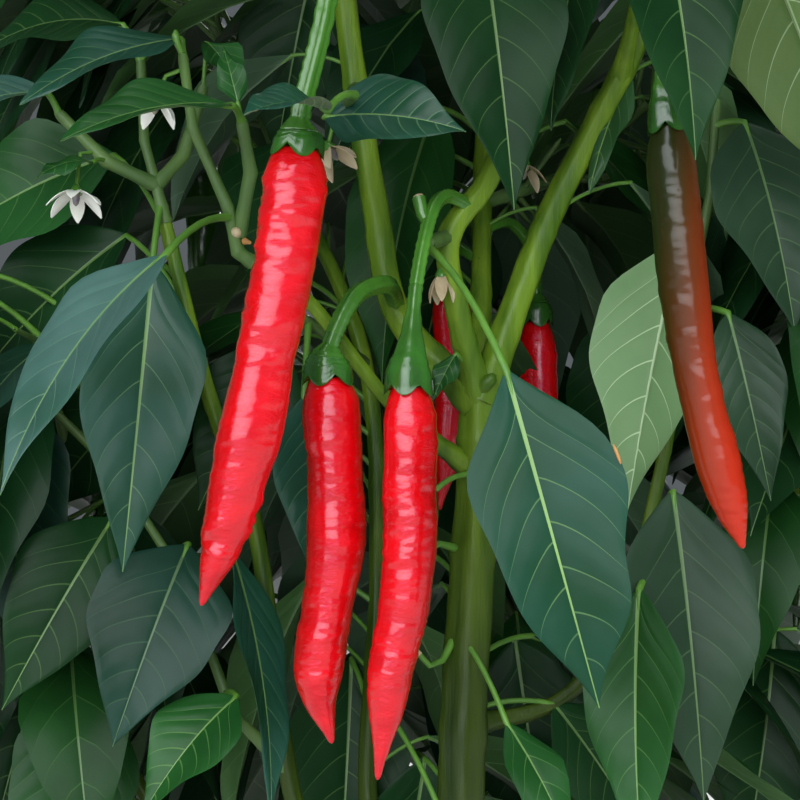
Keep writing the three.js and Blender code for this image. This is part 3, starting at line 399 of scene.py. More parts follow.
class Filled:
    def __init__(self):
        self.count = 0
        self.lows = np.zeros((MOST_BUNCHES, 3))
        self.highs = np.zeros((MOST_BUNCHES, 3))
        self.bunches = []

    def add(self, places, reaches, name, woody):
        reaches = np.broadcast_to(np.asarray(reaches, float), (len(places),))
        self.lows[self.count] = (places - reaches[:, None]).min(0)
        self.highs[self.count] = (places + reaches[:, None]).max(0)
        self.bunches.append((places, reaches, name, woody))
        self.count += 1

    def near(self, low, high, name, root):
        """Points of the bunches that meet a box, apart from the owner's own wood at the root."""
        meets = np.all((self.lows[:self.count] < high) & (self.highs[:self.count] > low), axis=1)
        found = []
        for i in np.nonzero(meets)[0]:
            places, reaches, owner, woody = self.bunches[i]
            keep = np.all((places > low - reaches[:, None]) & (places < high + reaches[:, None]), axis=1)
            if woody and owner == name:
                keep &= np.linalg.norm(places - root, axis=1) >= FREE_AT_ROOT
            if keep.any():
                found.append((places[keep], reaches[keep]))
        return found

    def is_taken(self, places, reaches, name, root, clearance=CLEARANCE):
        """Whether any of the points is too near to what grows, apart from its own wood at the root."""
        margin = reaches.max() + clearance
        found = self.near(places.min(0) - margin, places.max(0) + margin, name, root)
        for others, other_reaches in found:
            squares = (places ** 2).sum(1)[:, None] + (others ** 2).sum(1)[None] - 2 * places @ others.T
            i, j = np.nonzero(squares < (reaches[:, None] + other_reaches[None] + clearance) ** 2)
            cells = np.abs(np.floor(places[i] / CELL) - np.floor(others[j] / CELL))
            if len(i) and np.any(cells.max(1) <= 1):
                return True
        return False


filled = Filled()


def is_inside(places, mass):
    share = np.abs((places - mass["middle"]) / mass["half"])
    return bool(np.all((share ** 3).sum(1) < 1) and np.all(places[:, 2] > CROWN_FLOOR))


def occupy_curve(curve, start, radius_at, name):
    steps = math.ceil(curve.length() / SAMPLE_STEP)
    shares = stops_between(start, 1, steps)
    filled.add(curve.at(shares), radius_at(shares), name, True)


# Limbs
LIMB_BEND = 0.22


def limb_curve(spec, limbs):
    if spec["path"]:
        return Curve(spec["path"])
    parent = limbs[spec["on"]]["curve"]
    start, tip = parent.at(1), vec(spec["tip"])
    control = start + parent.way(1) * size_of(tip - start) * LIMB_BEND
    t = np.arange(5)[:, None] / 4
    return Curve((1 - t) ** 2 * start + 2 * (1 - t) * t * control + t ** 2 * tip)


def limb_radius(spec, curve):
    foot, top = spec["radii"]

    def radius_at(share):
        share = np.asarray(share, float)
        flare = 0 if spec["on"] else ROOT_FLARE * np.exp(-curve.at(share)[..., 2] / FLARE_HEIGHT)
        return foot + (top - foot) * share + flare

    return radius_at


def grow_limbs():
    limbs = {}
    for name, spec in LIMBS.items():
        curve = limb_curve(spec, limbs)
        limbs[name] = {"curve": curve, "radius_at": limb_radius(spec, curve)}
        occupy_curve(curve, 0, limbs[name]["radius_at"], name)
    return limbs


# Pods
POD_TOP = 0.74
POD_SHOULDER_END = 0.12
POD_POINT_START = 0.7
POD_TAPER = 0.2
BACK_POD_GAP = 0.004


def pod_radius(s, radius):
    s = np.clip(s, 0, 1)
    shoulder = POD_TOP + (1 - POD_TOP) * np.sin(np.minimum(1, s / POD_SHOULDER_END) * math.pi / 2)
    point = 1 - (np.maximum(0, s - POD_POINT_START) / (1 - POD_POINT_START)) ** 1.5
    return radius * shoulder * (1 - POD_TAPER * s ** 1.6) * np.maximum(point, 0)


def stalk_radius_at(t, thin, cup, cup_start, rim):
    share = np.clip((t - cup_start) / (rim - cup_start), 0, 1)
    return thin + (cup - thin) * np.sin(share * math.pi / 2)


def grow_pod(name, spec, limbs):
    points = np.array(spec["stalk"] + spec["body"], float)
    curve = Curve(points)
    spans = len(points) - 1
    rim = len(spec["stalk"]) / spans
    neck = size_of(points[len(spec["stalk"]) - 1] - points[len(spec["stalk"])])
    cup_start = rim - CALYX_HEIGHT / neck / spans
    body_start = rim + (BACK_POD_GAP if name.startswith("back") else GAP / curve.length())
    start = curve.share_at(limbs[spec["on"]]["radius_at"](spec["at"]) + POD_STUB_OVER_LIMB)

    def radius_at(t):
        stalk = stalk_radius_at(t, spec["stalk_radius"], spec["cup"], cup_start, rim)
        return np.where(t < rim, stalk, pod_radius((t - body_start) / (1 - body_start), spec["radius"]))

    occupy_curve(curve, start, radius_at, name)
    return {"curve": curve, "rim": rim, "cup_start": cup_start, "body_start": body_start}


# Leaves: the blade's middle line, and its frame at shares of its length
PETIOLE_RISE = 0.16
FIRST_SAMPLE = 0.06


def blade_shape(u):
    return np.sin(math.pi * np.clip(u, 0, 1) ** 0.72) * (1 - 0.3 * u ** 3)


def blade_at(leaf, u):
    """Centre, face, side and half width of a blade at shares u, as arrays."""
    u = np.asarray(u, float)[..., None]
    base, tip = leaf["base"], leaf["tip"]
    bend = mix(base, tip, 0.5) + leaf["face"] * 2 * leaf["arch"]
    first, second = mix(base, bend, u), mix(bend, tip, u)
    along = second - first
    along = along / np.linalg.norm(along, axis=-1, keepdims=True)
    face = leaf["face"] - along * (along @ leaf["face"])[..., None]
    face = face / np.linalg.norm(face, axis=-1, keepdims=True)
    return mix(first, second, u), face, np.cross(along, face), leaf["width"] / 2 * blade_shape(u[..., 0])


def petiole_at(leaf, t):
    t = np.asarray(t, float)[..., None]
    bend = mix(leaf["root"], leaf["base"], 0.5) + UP * size_of(leaf["base"] - leaf["root"]) * PETIOLE_RISE
    return mix(mix(leaf["root"], bend, t), mix(bend, leaf["base"], t), t)


def leaf_samples(leaf):
    """Points over a blade and along its stalk, with the reach of each, and how many are blade."""
    rows = math.ceil(size_of(leaf["tip"] - leaf["base"]) / SAMPLE_STEP)
    u = FIRST_SAMPLE + (1 - FIRST_SAMPLE) * np.arange(rows + 1) / rows
    centre, face, side, reach = blade_at(leaf, u)
    columns = np.maximum(1, np.ceil(2 * reach / SAMPLE_STEP)).astype(int)
    row = np.repeat(np.arange(rows + 1), columns + 1)
    step = np.concatenate([np.arange(c + 1) for c in columns])
    v = 2 * step / columns[row] - 1
    across = (reach[row] * v)[:, None]
    blade = centre[row] + side[row] * across + face[row] * leaf["fold"] * np.abs(across)
    stalk_steps = math.ceil(size_of(leaf["base"] - leaf["root"]) / SAMPLE_STEP)
    stalk = petiole_at(leaf, stops_between(0, 1, stalk_steps))
    reaches = np.concatenate([np.full(len(blade), SAMPLE_STEP / 2), np.full(len(stalk), PETIOLE_RADIUS)])
    return np.concatenate([blade, stalk]), reaches, len(blade)


def occupy_leaf(samples, name):
    places, reaches, blade = samples
    filled.add(places[:blade], reaches[:blade], name, False)
    filled.add(places[blade:], reaches[blade:], name, True)


def occupy_twig(ends, radius, name):
    steps = math.ceil(size_of(ends[1] - ends[0]) / SAMPLE_STEP)
    t = stops_between(0, 1, steps)[:, None]
    filled.add(mix(ends[0], ends[1], t), radius, name, True)


# Sprays told one by one
FIRST_STEP = 5
LEAFY_STOPS = stops_between(0.15, 1, 12)


def start_on(spec, aim, limbs):
    limb = limbs[spec["on"]]
    share = spec.get("at", 1)
    place = limb["curve"].at(share)
    if share == 1:
        way = limb["curve"].way(1)
        return place, place + way * GAP, way
    way = unit(aim)
    stub = limb["radius_at"](share) + STUB_OVER_LIMB
    return place, place + way * (stub + GAP), way


def nearest_on(twigs, target):
    places = np.concatenate([mix(a, b, LEAFY_STOPS[:, None]) for a, b in twigs])
    return places[np.argmin(np.linalg.norm(places - target, axis=1))]


def grow_spray(name, spec, limbs):
    runs = []
    for branch, points in enumerate(spec["twigs"]):
        places = [vec(p) for p in points]
        if branch == 0:
            _, first, way = start_on(spec, places[1] - places[0], limbs)
            places = [first, first + way * FIRST_STEP] + places[1:]
        runs.append(places)
    twigs = [(run[i], run[i + 1]) for run in runs for i in range(len(run) - 1)]
    leaves = [{**leaf, "root": nearest_on(twigs[1:], leaf["base"])} for leaf in spec["leaves"]]
    for ends in twigs:
        occupy_twig(ends, TWIG_RADII[1], name)
    for leaf in leaves:
        occupy_leaf(leaf_samples(leaf), name)
    return {"name": name, "runs": runs, "leaves": leaves, "start": start_on(spec, runs[0][1], limbs)[0]}


# Masses grown by rule: twigs fork in two, and each fork and tip carries leaves
TWIG_FREE_SHARE = 0.3
TWIG_ROOM = 1
FORK_ANGLES = (0.8, 1.35)
FORK_LENGTHS = (0.85, 1.2)
FORK_RISE = 0.12
FORK_INWARD = 0.3
ACROSS_SEED = (0.2, 0.5, 1)


def way_round(way, turn):
    """A way square to another, turned round it."""
    across = unit(np.cross(vec(ACROSS_SEED), way))
    return across * math.cos(turn) + np.cross(way, across) * math.sin(turn)


def fork_way(mass, twig, key, attempt):
    turn = 2 * math.pi * chance(mass["seed"], key >> 1, attempt, 3) + (key % 2) * math.pi
    angle = FORK_ANGLE * between(*FORK_ANGLES, mass["seed"], key, attempt, 4)
    way = twig["way"] * math.cos(angle) + way_round(twig["way"], turn) * math.sin(angle)
    inward = (mass["middle"] - twig["ends"][1]) / mass["half"]
    return unit(way + UP * FORK_RISE + inward * FORK_INWARD)


def twig_fits(mass, ends, radius):
    steps = math.ceil(size_of(ends[1] - ends[0]) / SAMPLE_STEP)
    places = mix(ends[0], ends[1], stops_between(TWIG_FREE_SHARE, 1, steps)[:, None])
    reaches = np.full(len(places), float(radius + TWIG_ROOM))
    return is_inside(places, mass) and not filled.is_taken(places, reaches, mass["name"], ends[0])


def grow_twigs(mass):
    ends = (mass["from"], mass["from"] + mass["way"] * TWIG_LENGTHS[0])
    mass["twigs"] = [{"ends": ends, "way": mass["way"], "order": 0, "key": 1, "radii": TWIG_RADII[:2]}]
    occupy_twig(ends, TWIG_RADII[0], mass["name"])
    for parent in mass["twigs"]:
        order = parent["order"] + 1
        if order == len(TWIG_LENGTHS):
            continue
        for key in (parent["key"] * 2, parent["key"] * 2 + 1):
            for attempt in range(TRIES):
                way = fork_way(mass, parent, key, attempt)
                length = TWIG_LENGTHS[order] * between(*FORK_LENGTHS, mass["seed"], key, attempt, 5)
                ends = (parent["ends"][1], parent["ends"][1] + way * length)
                if not twig_fits(mass, ends, TWIG_RADII[order]):
                    continue
                mass["twigs"].append({
                    "ends": ends, "way": way, "order": order, "key": key,
                    "radii": TWIG_RADII[order:order + 2],
                })
                occupy_twig(ends, TWIG_RADII[order], mass["name"])
                break


OUTWARD_LEAN = 0.55
DROOPS = (0.45, 1.4)
LENGTH_SHARES = (0.88, 1.14)
STALK_RISES = (0.25, 0.75)
STALK_SHARES = (0.75, 1.2)
ROLLS = (-0.5, 0.5)
WIDTH_SHARES = (0.88, 1.12)
ARCH_SHARES = (0.05, 0.13)


def leaf_candidate(root, size, keys, lean=None):
    turn = 2 * math.pi * chance(*keys, 6)
    outward = unit(vec((root[0], root[1], 0))) * OUTWARD_LEAN if lean is None else lean
    level = unit(vec((math.cos(turn), math.sin(turn), 0)) + outward)
    droop = between(*DROOPS, *keys, 7)
    length = LEAF_LENGTH * size * between(*LENGTH_SHARES, *keys, 8)
    rise = between(*STALK_RISES, *keys, 9)
    stalk = PETIOLE_LENGTH * size * between(*STALK_SHARES, *keys, 10)
    base = root + unit(level + UP * rise) * stalk
    chord = level * math.cos(droop) - UP * math.sin(droop)
    roll = between(*ROLLS, *keys, 11)
    upper = level * math.sin(droop) + UP * math.cos(droop)
    return {
        "root": root, "base": base, "tip": base + chord * length,
        "face": upper * math.cos(roll) + np.cross(level, UP) * math.sin(roll),
        "width": length * LEAF_SLIMNESS * between(*WIDTH_SHARES, *keys, 12),
        "arch": length * between(*ARCH_SHARES, *keys, 13), "fold": GROWN_FOLD, **PLAIN_OUTLINE,
    }


def grow_leaf(mass, root, size, key, spray):
    for attempt in range(TRIES):
        leaf = leaf_candidate(root, size, [mass["seed"], key, attempt])
        samples = leaf_samples(leaf)
        if not is_inside(samples[0], mass) or filled.is_taken(samples[0], samples[1], mass["name"], root):
            continue
        occupy_leaf(samples, mass["name"])
        mass["leaves"].append({**leaf, "spray": spray, "key": key})
        return


def grow_leaves(mass):
    for twig in mass["twigs"]:
        for i, (share, size) in enumerate(LEAF_PLACES[twig["order"]]):
            root = mix(twig["ends"][0], twig["ends"][1], share)
            grow_leaf(mass, root, size, twig["key"] * 8 + i, twig["key"])


POD_LENGTH_SHARES = (0.8, 1.12)
HUNG_STALK = [(0, 0), (9, 6), (17, -4), (19, -17)]
HUNG_BODY = [(0.33, 2), (0.66, -1), (1, 5)]


def pod_candidate(root, keys):
    turn = 2 * math.pi * chance(*keys, 14)
    level = vec((math.cos(turn), math.sin(turn), 0))
    lean = level + vec((level[1], -level[0], 0)) * between(-1, 1, *keys, 15)
    length = HUNG_POD["length"] * between(*POD_LENGTH_SHARES, *keys, 16)
    points = [root + level * out + UP * up for out, up in HUNG_STALK]
    points += [points[-1] - UP * length * share + lean * out for share, out in HUNG_BODY]
    return Curve(points)


HUNG_FREE_SHARE = 0.2
HUNG_STEPS = 26
LEAST_REACH = 2
HUNG_RIM = 0.5
HUNG_CUP_START = 0.4


def hung_radius(t):
    stalk = stalk_radius_at(t, HUNG_POD["stalk_radius"], HUNG_POD["cup"], HUNG_CUP_START, HUNG_RIM)
    body = pod_radius((t - HUNG_RIM) / (1 - HUNG_RIM), HUNG_POD["radius"])
    return np.where(t <= HUNG_RIM, stalk, body)


def grow_pods(mass):
    forks = [twig for twig in mass["twigs"] if twig["order"] < 2]
    shares = stops_between(HUNG_FREE_SHARE, 1, HUNG_STEPS)
    for i in range(min(mass["pods"], len(forks))):
        root = forks[-1 - i]["ends"][1]
        for attempt in range(TRIES):
            curve = pod_candidate(root, [mass["seed"], i, attempt])
            places, reaches = curve.at(shares), np.maximum(hung_radius(shares), LEAST_REACH)
            if not is_inside(places, mass) or filled.is_taken(places, reaches, mass["name"], root):
                continue
            filled.add(places, reaches, mass["name"], False)
            mass["hung"].append({
                "curve": curve, "rim": HUNG_RIM, "cup_start": HUNG_CUP_START, "body_start": HUNG_RIM,
            })
            break


# What only this script adds: short spurs on the twigs, and more leaves on them and on the limbs.
# A leaf here keeps the middle of its blade clear, and its edges may touch another leaf.
ADDED_TRIES = 14
ADDED_FREE = 16
MIDDLE_SHARE = 0.3
SPUR_SHARES = [0.16, 0.34, 0.52, 0.7, 0.88]
LOW_SPUR_SHARES = [0.1, 0.22, 0.34, 0.46, 0.58, 0.7, 0.82, 0.94]
SPUR_LENGTH = 17
SPUR_LENGTH_SHARES = (0.7, 1.3)
SPUR_RADIUS = 0.9
SPUR_LEAF_PLACES = [0.96, 0.6, 0.96]
SPUR_LEAF_SIZES = [0.9, 0.74, 0.6]
LOW_LEAF_SIZES = [1.0, 0.88, 0.72]
SPUR_KEY = 4096
SPUR_FORWARD = 0.5
SPUR_RISE = 0.25
TO_THE_FRONT = vec((0, -0.6, 0))
LOW_MASSES = ("foliage_mid", "foliage_low")


class Cells:
    """Which small cubes of space hold something, for a quick test."""

    def __init__(self, low, high, edge):
        self.low, self.edge = vec(low), edge
        self.full = np.zeros(np.ceil((vec(high) - self.low) / edge).astype(int), bool)

    def of(self, places):
        index = np.floor((places - self.low) / self.edge).astype(int)
        index = index[np.all((index >= 0) & (index < self.full.shape), axis=1)]
        return tuple(index.T)

    def fill(self, places):
        self.full[self.of(places)] = True

    def are_met(self, places):
        return bool(self.full[self.of(places)].any())


SIGHT_SHARES = (0.01, 0.12)
SIGHT_STEPS = 22
SIGHT_OFFSETS = (-1, -0.5, 0, 0.5, 1)

CELLS_LOW = (-330, -280, -10)
CELLS_HIGH = (340, 310, 780)
SMALL_CELL = 5
cells = Cells(CELLS_LOW, CELLS_HIGH, SMALL_CELL)


def fill_sight_line(place, reach):
    """Keeps free what lies between a pod behind the stem and the camera."""
    line = mix(vec(place), CAMERA_PLACE, stops_between(*SIGHT_SHARES, SIGHT_STEPS)[:, None])
    offsets = np.array([(i, 0, j) for i in SIGHT_OFFSETS for j in SIGHT_OFFSETS]) * reach
    cells.fill((line[:, None] + offsets[None]).reshape(-1, 3))


def add_leaf(mass, root, size, key, spray, lean=None, behind=-1000):
    for attempt in range(ADDED_TRIES):
        leaf = leaf_candidate(root, size, [mass["seed"], key, attempt], lean)
        places = leaf_samples({**leaf, "width": leaf["width"] * MIDDLE_SHARE})[0]
        if not is_inside(places, mass):
            continue
        if cells.are_met(places[np.linalg.norm(places - root, axis=1) > ADDED_FREE]):
            continue
        places, _, blade = leaf_samples(leaf)
        if not is_inside(places, mass) or places[:blade, 1].min() < behind:
            continue
        cells.fill(places)
        mass["leaves"].append({**leaf, "spray": spray, "key": key})
        return


def spur_way(mass, twig, key, attempt):
    side = way_round(twig["way"], 2 * math.pi * chance(mass["seed"], key, attempt, 21))
    return unit(twig["way"] * SPUR_FORWARD + side + UP * SPUR_RISE)


def grow_spurs(mass):
    is_low = mass["name"].startswith(LOW_MASSES)
    for twig in mass["twigs"]:
        for i, share in enumerate(LOW_SPUR_SHARES if is_low else SPUR_SHARES):
            key = SPUR_KEY + twig["key"] * 8 + i
            root = mix(twig["ends"][0], twig["ends"][1], share)
            for attempt in range(TRIES):
                way = spur_way(mass, twig, key, attempt)
                end = root + way * SPUR_LENGTH * between(*SPUR_LENGTH_SHARES, mass["seed"], key, 22)
                if twig_fits(mass, (root, end), SPUR_RADIUS):
                    occupy_twig((root, end), SPUR_RADIUS, mass["name"])
                    mass["spurs"].append({"ends": (root, end), "way": way, "key": key})
                    break


def grow_spur_leaves(mass):
    is_low = mass["name"].startswith(LOW_MASSES)
    sizes, lean = (LOW_LEAF_SIZES, TO_THE_FRONT) if is_low else (SPUR_LEAF_SIZES, None)
    for i, size in enumerate(sizes):
        for spur in mass["spurs"]:
            place = mix(*spur["ends"], SPUR_LEAF_PLACES[i])
            add_leaf(mass, place, size, spur["key"] * 4 + i, spur["key"] >> 3, lean)


# Single leaves on the limbs themselves, behind the stem, so that the stem and its pods show
LIMB_LEAF_STEP = 9
LIMB_LEAF_SIZES = (0.75, 1.08)
LIMB_LEAF_SPACE = {"middle": vec((-10, 100, 290)), "half": vec((230, 150, 250))}
BEHIND_STEM = 10
SEED_OF_LIMB_LEAVES = 71
LEAFY_LIMBS = [
    "trunk", "shoot_behind", "shoot_back", "shoot_right_low", "shoot_left_low", "bough_back",
    "shoot_left", "bough_right", "bough_left",
]


def grow_limb_leaves(limbs):
    crown = {"name": "limb_leaves", "seed": SEED_OF_LIMB_LEAVES, "leaves": [], **LIMB_LEAF_SPACE}
    for order, name in enumerate(LEAFY_LIMBS):
        curve = limbs[name]["curve"]
        steps = int(curve.length() / LIMB_LEAF_STEP)
        crown["name"] = name
        for i in range(1, steps):
            share = (i + 0.5) / steps
            for twin in range(2):
                size = between(*LIMB_LEAF_SIZES, SEED_OF_LIMB_LEAVES, order, i, twin)
                key = order * 256 + i * 2 + twin
                add_leaf(crown, curve.at(share), size, key, order * 8 + i // 3, behind=BEHIND_STEM)
    return crown


# Places behind the stem that show in the photograph, and how far round each stays in view
SIGHTS = [
    ((23, 58, 330), 7), ((24.5, 58, 312), 7), ((24.5, 58, 300), 7), ((25, 58, 288), 7),
    ((-5, 54, 318), 5), ((-5, 54, 304), 5), ((5, 60, 340), 5),
    ((-100, 4, 202), 9), ((-104, 4, 188), 9), ((-92, 6, 216), 9),
    ((-100, -12, 294), 9), ((-110, -12, 276), 9), ((-104, -14, 254), 9), ((-124, -28, 256), 9),
]

# Leaves on the stem and shoots that are told one by one
STEM_LEAVES = [
    leaf_of((10, -20, 188), (30, -32, 150), 18, (0.3, -0.9, 0.4), 3, "green", (-3, -3, 212)),
    leaf_of((-9, -13, 158), (-4, -26, 96), 28, (0.1, -0.95, 0.3), 4, "deep", (-30, 20, 190)),
    leaf_of((-11, -16, 258), (-22, -20, 234), 11, (-0.3, -0.9, 0.2), 2, "green", (0, -3, 262)),
    leaf_of((26, 6, 190), (58, 18, 142), 30, (0.1, -0.9, 0.4), 4, "deep", (-2, 0, 188)),
    leaf_of((-5, -10, 299), (-12, -14, 285), 8, (-0.2, -0.9, 0.4), 1, "green", (-1, -4, 294)),
    leaf_of((51, 12, 388), (37, 4, 349), 13, (-0.5, -0.8, 0.1), 3, "pale", (48, 10, 388)),
    leaf_of((-114, 26, 364), (-180, 46, 332), 42, (-0.1, -0.9, 0.4), 6, "green", (-95, 4, 338)),
    leaf_of((-110, 26, 338), (-168, 52, 284), 42, (-0.2, -0.85, 0.45), 6, "deep", (-88, 4, 312)),
    leaf_of((-92, 26, 300), (-142, 44, 246), 42, (-0.2, -0.9, 0.3), 5, "deep", (-70, 6, 252)),
    leaf_of((-135, 48, 218), (-154, 38, 146), 42, (0.1, -0.9, 0.3), 5, "deep", (-124, 44, 188)),
    leaf_of((-121, 38, 190), (-139, 26, 118), 42, (0.1, -0.9, 0.3), 5, "green", (-114, 45, 168)),
    leaf_of((-38, 40, 200), (-42, 30, 122), 40, (0.1, -0.95, 0.2), 5, "deep", (-31, 21, 182)),
    leaf_of((17, 62, 204), (28, 54, 128), 44, (-0.1, -0.95, 0.2), 5, "deep", (-4, 66, 162)),
    leaf_of((104, 58, 208), (92, 48, 130), 44, (0.1, -0.95, 0.2), 5, "deep", (94, 58, 226)),
    leaf_of((61, 60, 320), (49, 82, 242), 44, (0, -0.95, 0.25), 5, "deep", (66, 14, 292)),
    leaf_of((-1, 82, 356), (-17, 98, 284), 42, (0, -0.95, 0.25), 5, "deep", (4, 34, 326)),
    leaf_of((-14, 24, 170), (-26, 36, 98), 36, (0.1, -0.95, 0.2), 4, "deep", (0, 2, 150)),
    leaf_of((-50, 52, 434), (-64, 64, 366), 40, (-0.1, -0.95, 0.2), 4, "deep", (-38, 20, 398)),
]


def grow_plant():
    limbs = grow_limbs()
    pods = {name: grow_pod(name, spec, limbs) for name, spec in PODS.items()}
    sprays = [grow_spray(name, spec, limbs) for name, spec in SPRAYS.items()]
    masses = []
    for i, (name, spec) in enumerate(MASSES.items()):
        place, first, way = start_on(spec, spec["aim"], limbs)
        masses.append({
            **spec, "name": name, "seed": i + FIRST_SEED, "start": place, "from": first, "way": way,
            "leaves": [], "hung": [], "spurs": [],
        })
    for grow in (grow_twigs, grow_pods, grow_leaves):
        for mass in masses:
            grow(mass)
    for leaf in STEM_LEAVES:
        occupy_leaf(leaf_samples(leaf), "stem_leaves")
    for mass in masses:
        grow_spurs(mass)
    for places, _, _, _ in filled.bunches:
        cells.fill(places)
    for place, reach in SIGHTS:
        fill_sight_line(place, reach)
    limb_leaves = grow_limb_leaves(limbs)
    for mass in masses:
        grow_spur_leaves(mass)
    return limbs, pods, sprays, masses, limb_leaves


# Materials
def set_inputs(node, values):
    for socket, value in values.items():
        node.inputs[socket].default_value = value


def add_node(tree, kind, values=None, links=None, operation=None):
    """Adds a shader node, with the values of its inputs and the sockets that feed them."""
    node = tree.nodes.new("ShaderNode" + kind)
    if operation:
        node.operation = operation
    set_inputs(node, values or {})
    for socket, source in (links or {}).items():
        tree.links.new(source, node.inputs[socket])
    return node


def nodes_of(name):
    material = bpy.data.materials.new(name)
    material.use_nodes = True
    tree = material.node_tree
    return material, tree, tree.nodes["Principled BSDF"]


def object_place(tree):
    return add_node(tree, "TexCoord").outputs["Object"]


def noise_node(tree, scale, stretch):
    mapping = add_node(tree, "Mapping", {"Scale": stretch}, {"Vector": object_place(tree)})
    values = {"Scale": scale, "Detail": NOISE_DETAIL}
    return add_node(tree, "TexNoise", values, {"Vector": mapping.outputs["Vector"]}).outputs["Fac"]


def colour_ramp(tree, stops, factor):
    """Runs through colours, given with their places, as a factor rises."""
    node = add_node(tree, "ValToRGB", links={"Fac": factor})
    elements = node.color_ramp.elements
    while len(elements) < len(stops):
        elements.new(0.5)
    for element, (at, colour) in zip(elements, stops):
        element.position = at
        element.color = (*colour, 1)
    return node.outputs["Color"]


def roughen(tree, shader, scale, stretch, strength, depth):
    values = {"Strength": strength, "Distance": depth * MM}
    bump = add_node(tree, "Bump", values, {"Height": noise_node(tree, scale, stretch)})
    tree.links.new(bump.outputs["Normal"], shader.inputs["Normal"])


NOISE_DETAIL = 3
PATCH_EDGES = (0.35, 0.65)
PORE_SCALE = 9
COAT_ROUGH = 0.17
ROSY_SHEEN = (0.8, 0.45, 1, 1)


def skin(name, colour, other, rough, scale=60, stretch=(1, 1, 1), bump=0.3, depth=0.3, coat=0.0,
         specular=0.5, sheen=(1, 1, 1, 1)):
    """A skin of two colours in soft patches, with fine bumps of a depth in millimetres."""
    material, tree, shader = nodes_of(name)
    patches = colour_ramp(tree, list(zip(PATCH_EDGES, (colour, other))), noise_node(tree, scale, stretch))
    tree.links.new(patches, shader.inputs["Base Color"])
    roughen(tree, shader, scale * PORE_SCALE, stretch, bump, depth)
    set_inputs(shader, {
        "Roughness": rough, "Specular IOR Level": specular, "Specular Tint": sheen, "Coat Weight": coat,
        "Coat Roughness": COAT_ROUGH,
    })
    return material


RIPENING_WAY = (-31.4, 0, 2.22)
RIPENING_START = 1.705
RIPENING_BLUR = 0.22
RIPENING_COLOURS = [
    (0.0, (0.46, 0.016, 0.002)), (0.2, (0.38, 0.017, 0.002)), (0.42, (0.26, 0.02, 0.002)),
    (0.62, (0.12, 0.02, 0.002)), (0.8, (0.045, 0.02, 0.002)), (0.96, (0.014, 0.02, 0.003)),
]


def turning_skin():
    """The ripening pod: orange-red from its tip up and along its right side, green-brown above."""
    material, tree, shader = nodes_of("turning_skin")
    along = add_node(tree, "VectorMath", {1: RIPENING_WAY}, {0: object_place(tree)}, "DOT_PRODUCT")
    unripe = add_node(tree, "Math", {1: RIPENING_START}, {0: along.outputs["Value"]}, "ADD")
    patches = noise_node(tree, 55, (1, 1, 0.35))
    sources = {0: patches, 2: unripe.outputs["Value"]}
    blurred = add_node(tree, "Math", {1: RIPENING_BLUR}, sources, "MULTIPLY_ADD")
    colours = colour_ramp(tree, RIPENING_COLOURS, blurred.outputs["Value"])
    tree.links.new(colours, shader.inputs["Base Color"])
    roughen(tree, shader, 500, (1, 1, 1.6), 0.12, 0.25)
    set_inputs(shader, {
        "Roughness": 0.3, "Specular IOR Level": 0.2, "Coat Weight": 0.45, "Coat Roughness": COAT_ROUGH,
    })
    return material


# Painted shade on the stem: below the first height, in metres, its colour is scaled by the factor; by the
# second height the shade has faded out
PAINTED_SHADE_TOP = 0.2
PAINTED_SHADE_FADE_TOP = 0.31
PAINTED_SHADE_FACTOR = 0.27


def stem_skin():
    """Smooth green bark in fine streaks, with painted shade that darkens it towards the ground."""
    material = skin("stem_skin", (0.16, 0.27, 0.018), (0.045, 0.11, 0.007), 0.38, 110, (1, 1, 0.1),
                    bump=0.45, depth=0.5, specular=0.3)
    tree = material.node_tree
    colour = tree.nodes["Principled BSDF"].inputs["Base Color"]
    height = add_node(tree, "SeparateXYZ", links={"Vector": object_place(tree)}).outputs["Z"]
    shade_heights = {"From Min": PAINTED_SHADE_TOP, "From Max": PAINTED_SHADE_FADE_TOP, "To Min": PAINTED_SHADE_FACTOR}
    shade = add_node(tree, "MapRange", shade_heights, {"Value": height}).outputs["Result"]
    streaks = colour.links[0].from_socket
    # Painted shade: the streaked bark colour is made darker towards the ground
    darkened = add_node(tree, "VectorMath", links={0: streaks, "Scale": shade}, operation="SCALE")
    tree.links.new(darkened.outputs["Vector"], colour)
    return material


